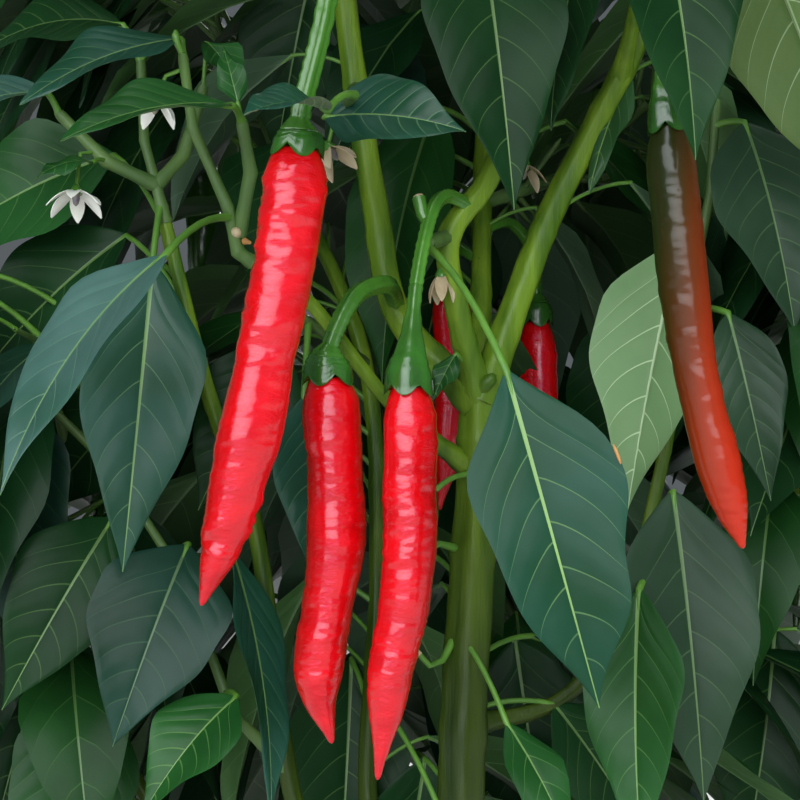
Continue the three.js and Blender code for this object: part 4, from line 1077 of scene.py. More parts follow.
# Blade colours: upper side, its darker patches, under side, how pale the veins are, and the shine
LEAF_TINTS = {
    "blue": ((0.016, 0.07, 0.05), (0.008, 0.048, 0.022), (0.085, 0.17, 0.085), 0.9, 0.3),
    "front": ((0.011, 0.06, 0.038), (0.006, 0.042, 0.017), (0.085, 0.17, 0.085), 1.3, 0.17),
    # grey_sheen: a grey-green leaf colour, partly the leaf's own and partly lightened as a painted sheen
    # of reflected sky
    "grey_sheen": ((0.06, 0.13, 0.112), (0.026, 0.08, 0.056), (0.1, 0.19, 0.1), 0.85, 0.34),
    "green": ((0.015, 0.08, 0.016), (0.008, 0.05, 0.009), (0.08, 0.18, 0.055), 0.8, 0.2),
    "deep": ((0.008, 0.038, 0.01), (0.004, 0.023, 0.006), (0.035, 0.1, 0.022), 0.6, 0.12),
    "dull": ((0.024, 0.055, 0.028), (0.014, 0.036, 0.017), (0.05, 0.11, 0.04), 0.5, 0.18),
    "pale": ((0.03, 0.1, 0.03), (0.02, 0.07, 0.02), (0.112, 0.205, 0.08), 1.5, 0.3),
    "olive": ((0.03, 0.09, 0.015), (0.02, 0.06, 0.01), (0.062, 0.115, 0.02), 1, 0.2),
    "young": ((0.06, 0.16, 0.03), (0.04, 0.11, 0.02), (0.12, 0.24, 0.05), 1, 0.2),
    "leafy": ((0.009, 0.05, 0.009), (0.005, 0.03, 0.005), (0.04, 0.11, 0.025), 0.36, 0.14),
    "shaded": ((0.005, 0.028, 0.008), (0.0025, 0.017, 0.004), (0.024, 0.07, 0.016), 0.36, 0.12),
    "bluish": ((0.009, 0.04, 0.026), (0.005, 0.026, 0.013), (0.04, 0.09, 0.042), 0.36, 0.2),
}
GROWN_TINTS = ["shaded", "leafy", "bluish", "shaded", "leafy", "deep", "bluish"]
MIDRIB_COLOUR = (0.19, 0.34, 0.085)
UNDER_VEIN_COLOUR = (0.34, 0.46, 0.26)
MIDRIB_SHARE = 0.75
SIDE_VEIN_SHARE = 0.3
UNDER_VEIN_SHARE = 0.5


def blended(a, b, share):
    return tuple(x + (y - x) * share for x, y in zip(a, b))


def leaf_paints(tint, upper, patch, under, paleness, shine):
    vein = blended(upper, MIDRIB_COLOUR, SIDE_VEIN_SHARE * paleness)
    midrib = blended(upper, MIDRIB_COLOUR, MIDRIB_SHARE * paleness)
    ridge = blended(under, UNDER_VEIN_COLOUR, UNDER_VEIN_SHARE * paleness)
    duller = blended(under, upper, 0.25)
    return {
        tint + "_top": skin(tint + "_blade", upper, patch, 0.36, 28, bump=0.22, depth=0.35,
                            specular=shine),
        tint + "_under": skin(tint + "_underside", under, duller, 0.6, 45),
        tint + "_vein": skin(tint + "_side_vein", vein, blended(vein, upper, 0.5), 0.42, 30,
                             specular=shine),
        tint + "_midrib": skin(tint + "_midrib", midrib, blended(midrib, upper, 0.3), 0.4, 30),
        tint + "_ridge": skin(tint + "_under_vein", ridge, blended(ridge, under, 0.4), 0.55, 30),
    }


def make_paints():
    paints = {}
    for tint, colours in LEAF_TINTS.items():
        paints.update(leaf_paints(tint, *colours))
    return {
        **paints,
        "petiole": skin("leaf_stalk", (0.1, 0.24, 0.03), (0.06, 0.16, 0.02), 0.4, 80),
        "twig": skin("twig_skin", (0.09, 0.17, 0.04), (0.05, 0.11, 0.025), 0.5, 80, (1, 1, 0.3)),
        "stem": stem_skin(),
        "stalk": skin("fruit_stalk", (0.062, 0.2, 0.02), (0.03, 0.12, 0.012), 0.28, 90, (1, 1, 0.4),
                      coat=0.4),
        "neck": skin("fruit_stalk_neck", (0.045, 0.16, 0.017), (0.022, 0.09, 0.01), 0.26, 110,
                     (1, 1, 0.5), coat=0.45),
        "calyx": skin("calyx", (0.03, 0.13, 0.014), (0.014, 0.062, 0.008), 0.24, 120, (1, 1, 0.6),
                      depth=0.4, coat=0.5),
        "red": skin("red_skin", (0.68, 0.001, 0.003), (0.54, 0.0008, 0.002), 0.27, 60, (1, 1, 2.0),
                    bump=0.45, depth=0.9, coat=0.9, specular=0.35, sheen=ROSY_SHEEN),
        "unripe": skin("unripe_skin", (0.035, 0.12, 0.012), (0.02, 0.08, 0.008), 0.25, 50, coat=0.6),
        "turning": turning_skin(),
        "petal": skin("petal", (0.88, 0.88, 0.82), (0.78, 0.79, 0.7), 0.55, 90),
        "withered": skin("withered_petal", (0.6, 0.5, 0.34), (0.44, 0.34, 0.2), 0.7, 120),
        "dried": skin("dried_edge", (0.5, 0.25, 0.08), (0.36, 0.16, 0.05), 0.7, 200),
        "anther": skin("anther", (0.12, 0.1, 0.16), (0.3, 0.28, 0.18), 0.6, 300),
        "scar": skin("scar", (0.5, 0.42, 0.26), (0.3, 0.22, 0.11), 0.75, 200),
    }


PAINTS = make_paints()
PAINT_NAMES = list(PAINTS)


# Meshes
SHARP_ANGLE = 75


class Shape:
    """Points and faces gathered from many small forms, made into one mesh in the end."""

    def __init__(self):
        self.points, self.corners, self.paints = [], [], []
        self.count = 0

    def add(self, points, corners, paints):
        """Faces have four corners, or three and a last one of -1."""
        points = np.asarray(points, float).reshape(-1, 3)
        corners = np.asarray(corners, int)
        self.points.append(points)
        self.corners.append(np.where(corners < 0, -1, corners + self.count))
        if isinstance(paints, str):
            paints = np.full(len(corners), PAINT_NAMES.index(paints))
        self.paints.append(np.asarray(paints, int))
        self.count += len(points)

    def make_mesh(self, name):
        corners = np.concatenate(self.corners)
        sizes = np.where(corners[:, 3] < 0, 3, 4)
        loops = corners.ravel()[corners.ravel() >= 0]
        mesh = bpy.data.meshes.new(name)
        mesh.vertices.add(self.count)
        mesh.vertices.foreach_set("co", (np.concatenate(self.points) * MM).ravel())
        mesh.loops.add(len(loops))
        mesh.loops.foreach_set("vertex_index", loops)
        mesh.polygons.add(len(corners))
        mesh.polygons.foreach_set("loop_start", np.concatenate([[0], np.cumsum(sizes)[:-1]]))
        return mesh

    def build(self, name, slot, *nodes):
        """Makes the piece that takes the place of some nodes."""
        mesh = self.make_mesh(name)
        paints = np.concatenate(self.paints)
        used = np.unique(paints)
        for index in used:
            mesh.materials.append(PAINTS[PAINT_NAMES[index]])
        mesh.polygons.foreach_set("material_index", np.searchsorted(used, paints))
        mesh.update(calc_edges=True)
        mesh.polygons.foreach_set("use_smooth", np.ones(len(paints), bool))
        mesh.set_sharp_from_angle(angle=math.radians(SHARP_ANGLE))
        piece = place_in_scene(name, mesh)
        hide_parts(*nodes)
        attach(piece, "root")


def turns(sides):
    return 2 * math.pi * np.arange(sides) / sides


def rings_round(places, ways, radii):
    """Rings of points round stations, turned as little as may be from one to the next."""
    sides = radii.shape[1]
    angles = turns(sides)
    across = vec((0.31, 1, 0.17))
    rings = np.zeros((len(places), sides, 3))
    for i, (place, way) in enumerate(zip(places, ways)):
        across = unit(across - way * (across @ way))
        other = np.cross(way, across)
        spokes = np.cos(angles)[:, None] * across + np.sin(angles)[:, None] * other
        rings[i] = place + spokes * radii[i][:, None]
    return rings


def pushed(rings, places, push):
    """Rings whose points move outward from the rings' middles."""
    outward = rings - places[:, None]
    outward /= np.linalg.norm(outward, axis=2, keepdims=True)
    return rings + outward * push[..., None]


def ways_along(places):
    steps = np.gradient(places, axis=0)
    return steps / np.linalg.norm(steps, axis=1, keepdims=True)


def tube_faces(rows, sides):
    i, k = np.meshgrid(np.arange(rows - 1), np.arange(sides), indexing="ij")
    after = (k + 1) % sides
    quads = np.stack([i * sides + k, i * sides + after, (i + 1) * sides + after, (i + 1) * sides + k], -1)
    return quads.reshape(-1, 4)


def cap_faces(first, centre, sides, flipped):
    k = np.arange(sides)
    after = (k + 1) % sides
    a, b = (after, k) if flipped else (k, after)
    return np.stack([np.full(sides, centre), first + a, first + b, np.full(sides, -1)], -1)


def add_tube(shape, rings, paint):
    """Adds a closed tube through rings of points."""
    rows, sides = rings.shape[:2]
    points = np.concatenate([rings.reshape(-1, 3), [rings[0].mean(0)], [rings[-1].mean(0)]])
    faces = np.concatenate([
        tube_faces(rows, sides),
        cap_faces(0, rows * sides, sides, True),
        cap_faces((rows - 1) * sides, rows * sides + 1, sides, False),
    ])
    shape.add(points, faces, paint)


def add_rod(shape, places, radii, sides, paint):
    places = np.asarray(places, float)
    radii = np.broadcast_to(np.asarray(radii, float), (len(places),))
    rings = rings_round(places, ways_along(places), np.repeat(radii[:, None], sides, 1))
    add_tube(shape, rings, paint)


# Blades, whose rows of faces follow the side veins from the midrib out to the edge
VEIN_SKEW = 0.36
VEIN_BEND = 1.2
FIRST_ROW = 0.012
FIRST_VEIN = 0.07
LAST_VEIN = 0.86
VEIN_STAGGER = 0.45
VEIN_HALF_WIDTH = 0.28
LAST_ROWS = (0.35, 0.65, 0.85, 1)
MIDRIB_FOOT = 0.72
MIDRIB_TIP = 0.15
FULL_MIDRIB_LENGTH = 85
BLADE_DEPTH = 0.5
FULL_DEPTH_LENGTH = 60
RIPPLE = 0.035
MIDRIB_SINK = 0.1
VEIN_SINK = 0.04
VEIN_RISE = 0.22
VEIN_THINNING = 0.85
PUFF_ROUND = 0.7
PUFF_SPREAD = 0.8
PUFF_FADE = 5
WAVES = 1.7
RIPPLES = 19
BLADE_OVER_MIDRIB = 0.06


def blade_rows(veins, fill, alternate, fan):
    """Rows as start on the midrib, share of the fan at the base, offset from a vein, side veined."""
    rows = [(FIRST_ROW, share, 0, 0) for share in np.linspace(0, 1, fan)]
    spacing = (LAST_VEIN - FIRST_VEIN) / (veins - 1)
    strips = [(FIRST_VEIN + spacing * k, -1 if alternate else 2) for k in range(veins)]
    if alternate:
        strips += [(FIRST_VEIN + spacing * (k + VEIN_STAGGER), 1) for k in range(veins - 1)]
    before = FIRST_ROW
    for at, side in sorted(strips):
        for k in range(fill):
            rows.append((mix(before, at, (k + 1) / (fill + 1)), 1, 0, 0))
        rows += [(at, 1, -1, side), (at, 1, 1, 0)]
        before = at
    rows += [(mix(before, 1, share), 1, 0, 0) for share in LAST_ROWS]
    return np.array(rows, float)


def blade_make(veins, fill, alternate, fan, puff, wave, cup, ridge):
    """How a kind of blade is made: its rows of faces, and the heights of its relief."""
    return {
        "rows": blade_rows(veins, fill, alternate, fan), "ridge": ridge,
        "spacing": (LAST_VEIN - FIRST_VEIN) / (veins - 1), "stagger": VEIN_STAGGER if alternate else 0,
        "puff": puff, "wave": wave, "cup": cup,
    }


FINE = blade_make(7, 1, True, 9, puff=0.24, wave=1.3, cup=0.8, ridge=1.0)
GROWN = blade_make(6, 1, False, 6, puff=0.3, wave=2.0, cup=2.0, ridge=1.0)
SMALL = blade_make(5, 0, False, 5, puff=0, wave=1.6, cup=1.8, ridge=0.8)

WEDGE_SHARE = 0.3
FULL_PLACE = 0.8
FULL_SPREAD = 0.13


def outline_at(leaf, u):
    """How much narrower a blade is near its foot, and how much fuller towards its tip."""
    t = np.clip(u / WEDGE_SHARE, 0, 1)
    narrower = leaf["wedge"] * (1 - t * t * (3 - 2 * t))
    fuller = leaf["fuller"] * np.exp(-((u - FULL_PLACE) / FULL_SPREAD) ** 2)
    return 1 - narrower + fuller


def midrib_at(u, length):
    scale = min(1, length / FULL_MIDRIB_LENGTH)
    return scale * (MIDRIB_TIP + (MIDRIB_FOOT - MIDRIB_TIP) * (1 - u) ** 1.2)


def blade_lift(leaf, make, across, u, x, keys):
    """Height of a blade over its middle line: its fold, the puffs between its veins, and its waves."""
    inner, start, share = np.abs(across), make["rows"][:, 0:1], make["rows"][:, 1:2]
    phase = (start - FIRST_VEIN) / make["spacing"] - np.where(across > 0, make["stagger"], 0)
    puff = make["puff"] * np.abs(np.sin(math.pi * phase)) ** PUFF_ROUND
    puff = puff * np.sin(math.pi * inner ** PUFF_SPREAD) ** PUFF_ROUND
    puff = puff * np.clip(share, 0, 1) * np.clip((1 - start) * PUFF_FADE, 0, 1)
    turn = 2 * math.pi * (WAVES * u + chance(*keys, 32)) + across
    wave = make["wave"] * inner ** 2 * np.sin(turn)
    wave += make["cup"] * inner ** 2 * math.sin(2 * math.pi * chance(*keys, 33))
    wave *= np.sin(math.pi * np.clip(u, 0, 1)) ** 0.5
    return leaf["fold"] * np.abs(x) + puff + wave


def blade_faces(rim):
    """Faces of the upper and lower sides, which share the points of the rim."""
    numbers = np.arange(rim.size).reshape(rim.shape)
    below = numbers.copy()
    below[~rim] = rim.size + np.arange((~rim).sum())
    i, j = np.meshgrid(*[np.arange(count - 1) for count in rim.shape], indexing="ij")
    top = np.stack([numbers[i, j], numbers[i, j + 1], numbers[i + 1, j + 1], numbers[i + 1, j]], -1)
    under = np.stack([below[i, j], below[i + 1, j], below[i + 1, j + 1], below[i, j + 1]], -1)
    return np.concatenate([top.reshape(-1, 4), under.reshape(-1, 4)])


def blade_paints(tint, veined, columns):
    """Paints of the same faces, by whether each lies on the midrib, on a side vein or between them."""
    midrib, vein, top, ridge, under = (
        PAINT_NAMES.index(tint + part) for part in ("_midrib", "_vein", "_top", "_ridge", "_under"))
    veined, j = np.meshgrid(veined[:-1], np.arange(2 * columns + 2), indexing="ij")
    is_right = j > columns
    is_midrib = (j == columns) | (j == columns + 1)
    is_vein = (veined == 2) | ((veined == -1) & ~is_right) | ((veined == 1) & is_right)
    upper = np.where(is_midrib, midrib, np.where(is_vein, vein, top))
    return np.concatenate([upper.ravel(), np.where(is_midrib | is_vein, ridge, under).ravel()])


def add_blade(shape, leaf, tint, make, columns, keys):
    """A closed blade with a midrib and side veins of their own faces, sunken above, raised beneath."""
    length = size_of(leaf["tip"] - leaf["base"])
    v = np.linspace(0, 1, columns + 1)
    across = np.concatenate([-v[::-1], [0], v])
    sign = np.repeat([-1, 0, 1], [columns + 1, 1, columns + 1])
    inner = np.abs(across)
    start, share, offset, veined = make["rows"].T[..., None]
    u = share * (start + (1 - start) * VEIN_SKEW * inner ** VEIN_BEND)
    u = np.clip(u + offset * VEIN_HALF_WIDTH / length * (1 - VEIN_THINNING * inner), 0, 1)
    centre, face, side, reach = blade_at(leaf, u)
    ripple = 1 + RIPPLE * np.sin(RIPPLES * u + 6 * chance(*keys, 31) + across)
    midrib = midrib_at(u, length)
    lopsided = 1 - leaf["lopsided"] * sign
    reach = np.maximum(reach * ripple * lopsided * outline_at(leaf, u), midrib + BLADE_OVER_MIDRIB)
    x = sign * (midrib + (reach - midrib) * inner)
    lift = blade_lift(leaf, make, across, u, x, keys)
    middle = centre + side * x[..., None] + face * lift[..., None]

    rim = np.ones(u.shape, bool)
    rim[1:-1, 1:-1] = False
    on_vein = np.abs(offset) * (1 - inner)
    half = np.where(rim, 0, BLADE_DEPTH / 2 * np.clip(length / FULL_DEPTH_LENGTH, 0.5, 1))
    sunken = np.where(rim, 0, np.where(sign == 0, MIDRIB_SINK, VEIN_SINK * on_vein))
    raised = np.where(rim, 0, VEIN_RISE * on_vein * make["ridge"])
    raised[:, columns + 1] = np.where(rim, 0, midrib * 1.1)[:, columns + 1]
    upper = middle + face * (half - sunken)[..., None]
    lower = middle - face * (half + raised)[..., None]
    points = np.concatenate([upper.reshape(-1, 3), lower[~rim]])
    shape.add(points, blade_faces(rim), blade_paints(tint, veined[:, 0], columns))


UNDER_BLADE = (0.03, 0.09)
PETIOLE_SIZES = (1.25, 1.0, 0.92, 0.9, 0.9, 0.92, 0.98, 0.8, 0.35)


def add_petiole(shape, leaf, sides, radius):
    """A leaf's stalk, from inside its twig to under the foot of its blade."""
    centre, face, _, _ = blade_at(leaf, np.array(UNDER_BLADE))
    under = centre - face * np.array([[0.25], [0.35]])
    places = np.concatenate([petiole_at(leaf, np.linspace(0, 1, 7)), under])
    add_rod(shape, places, radius * np.array(PETIOLE_SIZES), sides, "petiole")


def noise_at(places, across, along):
    """Smooth noise at each point, stretched along Z or across it."""
    scaled = places * np.array([across, across, along])
    return np.array([noise.noise(Vector(place)) for place in scaled])


POD_TIP_STOPS = (0.6, 0.3, 0.12, 0.03)
POD_TIP_SHARE = 0.02
POD_TIP_RADIUS = 1.0
SHOULDER = 0.16
SHOULDER_SHARE = 0.16
LOBES = 3
LOBE_HEIGHT = 0.03
SWELL_HEIGHT = 0.045
SWELL_TURN = 13
SMOOTH_END_SHARE = 1 / 14


def pod_sizes(s, radius):
    """Radii along a pod, with a rounded tip and a shoulder that draws in under the calyx."""
    tip = np.clip((1 - s) / POD_TIP_SHARE, 0, 1)
    sizes = np.sqrt(pod_radius(s, radius) ** 2 + POD_TIP_RADIUS ** 2 * tip * (2 - tip) + 0.002)
    rise = np.clip(s / SHOULDER_SHARE, 0, 1)
    return sizes * (1 - SHOULDER * (1 - rise) ** 2)


def pod_relief(places):
    """Broad swellings, folds that run part of the way round, and fine wrinkles in patches."""
    broad = noise_at(places, 0.06, 0.05) * 1.3
    folds = noise_at(places + 50, 0.085, 0.21) * 0.85
    fine = noise_at(places + 20, 0.16, 0.5) * 0.45 + noise_at(places + 70, 0.26, 0.95) * 0.3
    patches = np.clip(0.6 + 1.8 * noise_at(places + 90, 0.07, 0.04), 0.3, 1)
    return broad + (folds + fine) * patches


def pod_body_rings(curve, start, radius, creases, sides, count, seed):
    s = np.linspace(0, 1, count) ** 0.9
    s = np.concatenate([s[:-1], 1 - (1 - s[-2]) * np.array(POD_TIP_STOPS)])
    shares = start + (1 - start) * s
    places = curve.at(shares)
    lobes = 1 + LOBE_HEIGHT * np.cos(LOBES * turns(sides)[None] + 3 * s[:, None] + seed)
    swell = 1 + SWELL_HEIGHT * np.sin(SWELL_TURN * s + seed) * np.sin(math.pi * s)
    rings = rings_round(places, curve.way(shares), (pod_sizes(s, radius) * swell)[:, None] * lobes)
    push = pod_relief(rings.reshape(-1, 3) + seed * 37.0).reshape(rings.shape[:2])
    fade = np.clip(s / SMOOTH_END_SHARE, 0.15, 1) * np.clip((1 - s) / SMOOTH_END_SHARE, 0, 1)
    return pushed(rings, places, push * creases * fade[:, None])


FLUTES = 5
FLUTE_DEPTH = 0.1
WRINKLE_DEPTH = 0.065
LOBE_DROP = 3.4
LOBE_CUP = 7
LIP_FLARE = 0.04
STALK_RINGS = 60
CUP_RINGS = 18
NECK_RING = 54
CALYX_RING = 65
LIP_DROP = 0.5
LIP_DEPTH = 1.2
LIP_WIDTH_SHARE = 0.22
UNDER_CALYX = 0.006
LEAST_STALK_SIDES = 20


def stalk_rings(curve, rim, cup_start, thin, cup, sides, bulge):
    """A fluted stalk that swells into a calyx with a scalloped rim over the pod's shoulder."""
    in_stalk = np.linspace(0, cup_start, STALK_RINGS)
    shares = np.concatenate([in_stalk, np.linspace(cup_start, rim, CUP_RINGS)[1:]])
    places, ways = curve.at(shares), curve.way(shares)
    in_cup = np.clip((shares - cup_start) / (rim - cup_start), 0, 1)
    sizes = thin + (cup * 1.03 - thin) * np.sin(in_cup ** bulge * math.pi / 2)
    angles = turns(sides)
    flute = 1 + FLUTE_DEPTH * np.cos(FLUTES * angles)[None] * (1 - 0.55 * in_cup[:, None])
    steps = shares * curve.length()
    wrinkle = np.sin(steps[:, None] * 2.6 + 2 * np.sin(shares * 70)[:, None] + np.sin(angles)[None])
    wrinkled = 1 + WRINKLE_DEPTH * wrinkle * (1 - in_cup[:, None])
    rings = rings_round(places, ways, sizes[:, None] * flute * wrinkled)
    lobe = (np.abs(np.cos(FLUTES * angles / 2)) - 0.6) * LOBE_DROP * cup / LOBE_CUP
    rings += ways[:, None] * (lobe[None] * in_cup[:, None] ** 3)[..., None]
    middle = rings[-1].mean(0)
    lip = rings[-1] + (rings[-1] - middle) * LIP_FLARE + ways[-1] * LIP_DROP
    inner = lip + (middle - lip) * LIP_WIDTH_SHARE - ways[-1] * LIP_DEPTH
    return np.concatenate([rings, lip[None], inner[None]])


def add_pod(stalks, bodies, grown, spec, paint, sides, count, seed):
    taller = spec.get("taller", 1)
    cup_start = grown["rim"] - (grown["rim"] - grown["cup_start"]) * taller
    bulge = 0.9 + 0.45 * (taller - 1)
    rings = stalk_rings(grown["curve"], grown["rim"], cup_start, spec["stalk_radius"], spec["cup"],
                        max(LEAST_STALK_SIDES, sides // 2), bulge)
    add_tube(stalks, rings[:NECK_RING + 1], "stalk")
    add_tube(stalks, rings[NECK_RING:CALYX_RING + 1], "neck")
    add_tube(stalks, rings[CALYX_RING:], "calyx")
    start = grown["body_start"] - UNDER_CALYX
    body = pod_body_rings(grown["curve"], start, spec["radius"], spec["creases"], sides, count, seed)
    add_tube(bodies, body, paint)


# Stems
STEM_RIDGE = 0.075
STEM_RIDGES = 5
STEM_ROUGHNESS = 0.12
RING_STEP = 3.2
NODE_STEP = 47
NODE_REACH = 2.6
NODE_SWELL = 0.1
COLLAR_SWELL = 0.5
COLLAR_REACH = 5
TRUNK_SIDES = 28
LIMB_SIDES = 18


def stem_rings(limb, sides, start_collar, seed):
    """A stem's skin, ridged and rough, swollen at its nodes and where it leaves a thicker stem."""
    curve = limb["curve"]
    length = curve.length()
    shares = np.linspace(0, 1, max(8, int(length / RING_STEP)))
    places, ways = curve.at(shares), curve.way(shares)
    sizes = limb["radius_at"](shares)
    steps = shares * length
    if start_collar:
        sizes = sizes * (1 + COLLAR_SWELL * np.exp(-np.maximum(steps - start_collar, 0) / COLLAR_REACH))
    else:
        ways[0] = UP
    sizes = sizes * (1 + np.exp(-((steps % NODE_STEP - NODE_STEP / 2) / NODE_REACH) ** 2) * NODE_SWELL)
    ridge = 1 + STEM_RIDGE * np.cos(STEM_RIDGES * turns(sides)[None] + 3 * shares[:, None] + seed)
    rings = rings_round(places, ways, sizes[:, None] * ridge)
    rough = noise_at(rings.reshape(-1, 3) + seed * 11.0, 0.22, 0.06).reshape(rings.shape[:2])
    rings = pushed(rings, places, (np.abs(rough) - 0.3) * STEM_ROUGHNESS * sizes[:, None])
    rings[..., 2] = np.maximum(rings[..., 2], 0)
    return rings


def dress_stems(limbs):
    stems = Shape()
    for i, (name, limb) in enumerate(limbs.items()):
        on = LIMBS[name]["on"]
        collar = limbs[on]["radius_at"](1 if LIMBS[name]["tip"] else 0.5) if on else 0
        add_tube(stems, stem_rings(limb, LIMB_SIDES if on else TRUNK_SIDES, collar, i), "stem")
    return stems


BEND_SHARE = 0.07
BEFORE_JOINT = 1.12
AT_JOINT = 1.18
AFTER_JOINT = 1.1


def add_run(shape, points, radii, start):
    """A run of twigs with rounded bends and slightly swollen joints."""
    places, sizes = [], []
    if start is not None:
        places.append(start)
        sizes.append(radii[0] * AFTER_JOINT)
    for i, (point, radius) in enumerate(zip(points, radii)):
        is_last = i == len(points) - 1
        if i > 0:
            places += [mix(points[i - 1], point, 0.5), mix(points[i - 1], point, 1 - BEND_SHARE)]
            sizes += [mix(radii[i - 1], radius, 0.5), radius * BEFORE_JOINT]
        places.append(point)
        sizes.append(radius if i == 0 or is_last else radius * AT_JOINT)
        if not is_last:
            places.append(mix(point, points[i + 1], BEND_SHARE))
            sizes.append(radius * AFTER_JOINT)
    add_rod(shape, places, sizes, 8, "twig")


def mass_runs(mass):
    by_key = {twig["key"]: twig for twig in mass["twigs"]}
    for head in mass["twigs"]:
        if head["key"] != 1 and head["key"] % 2 == 0 and head["key"] // 2 in by_key:
            continue
        run, twig = [], head
        while twig:
            run.append(twig)
            twig = by_key.get(twig["key"] * 2)
        points = [head["ends"][0]] + [twig["ends"][1] for twig in run]
        yield points, [head["radii"][0]] + [twig["radii"][1] for twig in run], head["key"] == 1


PETAL_WIDTH = 0.44
PETAL_STEPS = 7
PETAL_FOLD = 0.2
PETAL_THICKNESS = 0.24
# Distances out from the flower's foot, and radii there
FLOWER_CONE = ((0.6, 0.8), (1.6, 1.2), (3.2, 1.3), (5.0, 0.9), (5.8, 0.2))
FLOWER_CUP = ((-1.6, 0.6), (-0.4, 1.3), (0.8, 1.9), (1.9, 2.0))


def add_petal(shape, petal, paint):
    u = np.linspace(0, 1, PETAL_STEPS)
    v = np.linspace(-1, 1, 5)
    centre, face, side, _ = blade_at(petal, u)
    reach = petal["width"] / 2 * np.sin(math.pi * (0.12 + 0.86 * u)) ** 0.8
    x = reach[:, None] * v[None]
    lift = petal["fold"] * np.abs(x)
    middle = centre[:, None] + side[:, None] * x[..., None] + face[:, None] * lift[..., None]
    half = face[:, None] * PETAL_THICKNESS / 2
    add_tube(shape, np.concatenate([middle + half, (middle - half)[:, ::-1]], 1), paint)


def add_flower(shape, stalk, way, size, petals, openness, paint, seed):
    """A nodding star of pointed petals round a cone of anthers, under a small green calyx."""
    stalk = [vec(place) for place in stalk]
    place, way = stalk[-1], unit(vec(way))
    add_rod(shape, stalk, np.linspace(0.75, 0.6, len(stalk)), 7, "petiole")
    across = unit(np.cross(way, vec((0.3, 0.9, 0.2))))
    other = np.cross(way, across)
    for i in range(petals):
        turn = 2 * math.pi * (i + chance(seed, i, 41) * 0.2) / petals
        spoke = across * math.cos(turn) + other * math.sin(turn)
        base = place + spoke * 0.9 + way * 1.2
        tip = base + unit(spoke * openness + way * between(0.5, 0.9, seed, i, 42)) * size
        add_petal(shape, {
            "base": base, "tip": tip, "width": size * PETAL_WIDTH, "face": unit(spoke - way * 0.6),
            "arch": size * 0.07, "fold": PETAL_FOLD,
        }, paint)
    for outline, sides, part_paint in ((FLOWER_CONE, 8, "anther"), (FLOWER_CUP, 10, "stalk")):
        places = [place + way * out for out, _ in outline]
        add_rod(shape, places, [radius for _, radius in outline], sides, part_paint)


# Flowers: points of the stalk, way it nods, size, number of petals, how open, paint and seed
FLOWERS = [
    ([(-116, 1, 362), (-120.5, -4, 361), (-121.5, -6, 350)], (0.02, -0.3, -1),
     10.5, 6, 0.9, "petal", 3),
    ([(-86, -25.5, 384), (-92, -24, 382), (-95, -22, 376)], (-0.1, -0.3, -1),
     9.5, 5, 0.7, "petal", 5),
    ([(-38, 0, 379), (-42, -6, 372), (-44, -8, 363)], (0.5, -0.3, -0.8),
     10, 4, 0.5, "withered", 8),
    ([(-7, -14, 336), (-9, -15, 331), (-9.5, -14, 324)], (0.05, -0.1, -1),
     9, 5, 0.22, "withered", 11),
    ([(6, 52, 365), (14, 40, 368), (19, 34, 362)], (-0.2, -0.3, -1),
     9, 5, 0.7, "withered", 14),
]
# Scars, hooks, a stub and buds: points, radii and paint of each
DETAILS = [
    ([(-13.4, -31.5, 336), (-15.4, -30.5, 340), (-16.4, -29, 345)], [1.4, 1.8, 2.1], "stalk"),
    ([(-16.3, -29, 344.6), (-16.6, -29, 345.8), (-16.7, -29, 346.2)], [1.6, 1.5, 0.7], "scar"),
    ([(1, -3, 287), (4, -6, 289.5), (6.2, -7.2, 291.8), (6.8, -7.6, 292.9)], [2.4, 2.3, 1.9, 0.8],
     "stem"),
    ([(-5, -2, 212), (-9, -7, 205), (-13, -11, 204), (-16.5, -13, 208)], [1.5, 1.1, 0.95, 0.9],
     "petiole"),
    ([(-16.2, -12.9, 207.6), (-17, -13.2, 208.8)], [1.1, 0.7], "scar"),
    ([(-4, -2, 239), (-10, -8, 241), (-15, -12, 238.5)], [1.5, 1.0, 0.85], "petiole"),
    ([(-70.4, -28.4, 334.6), (-70.7, -30.3, 335), (-70.7, -30.8, 335.1)], [1.7, 1.4, 0.6], "scar"),
    ([(-68.2, -28.2, 332.2), (-66.4, -30.4, 331.6)], [1.1, 0.5], "dried"),
    ([(-87, -24, 388), (-88.5, -25, 391.5), (-89, -25.5, 394), (-89, -25.5, 395.5)], [0.8, 1.1, 1.2, 0.4],
     "petiole"),
    ([(-104, 14, 392), (-102, 12, 395.5), (-101, 11, 398), (-101, 11, 399.5)], [0.8, 1.1, 1.2, 0.4],
     "petiole"),
]


DRIED_RIM = (0.305, 0.365)
DRIED_SIZES = (0.15, 0.4, 0.5, 0.5, 0.5, 0.4, 0.15)


def add_dried_rim(shape, leaf):
    """A dried tan edge on the right side of the leaf in front of the stem."""
    u = np.linspace(*DRIED_RIM, len(DRIED_SIZES))
    centre, face, side, reach = blade_at(leaf, u)
    reach = reach * outline_at(leaf, u) * (1 + leaf["lopsided"])
    places = centre - side * reach[:, None] + face * (leaf["fold"] * reach)[:, None]
    add_rod(shape, places, DRIED_SIZES, 6, "dried")


SMALL_WIDTH = 20
SMALL_LENGTH = 84
YOUNG_LENGTH = 42
YOUNG_SHARE = 0.4
SMALL_STALK = 0.6
GROWN_STALK = 0.85
MORE_FOLD = 0.08


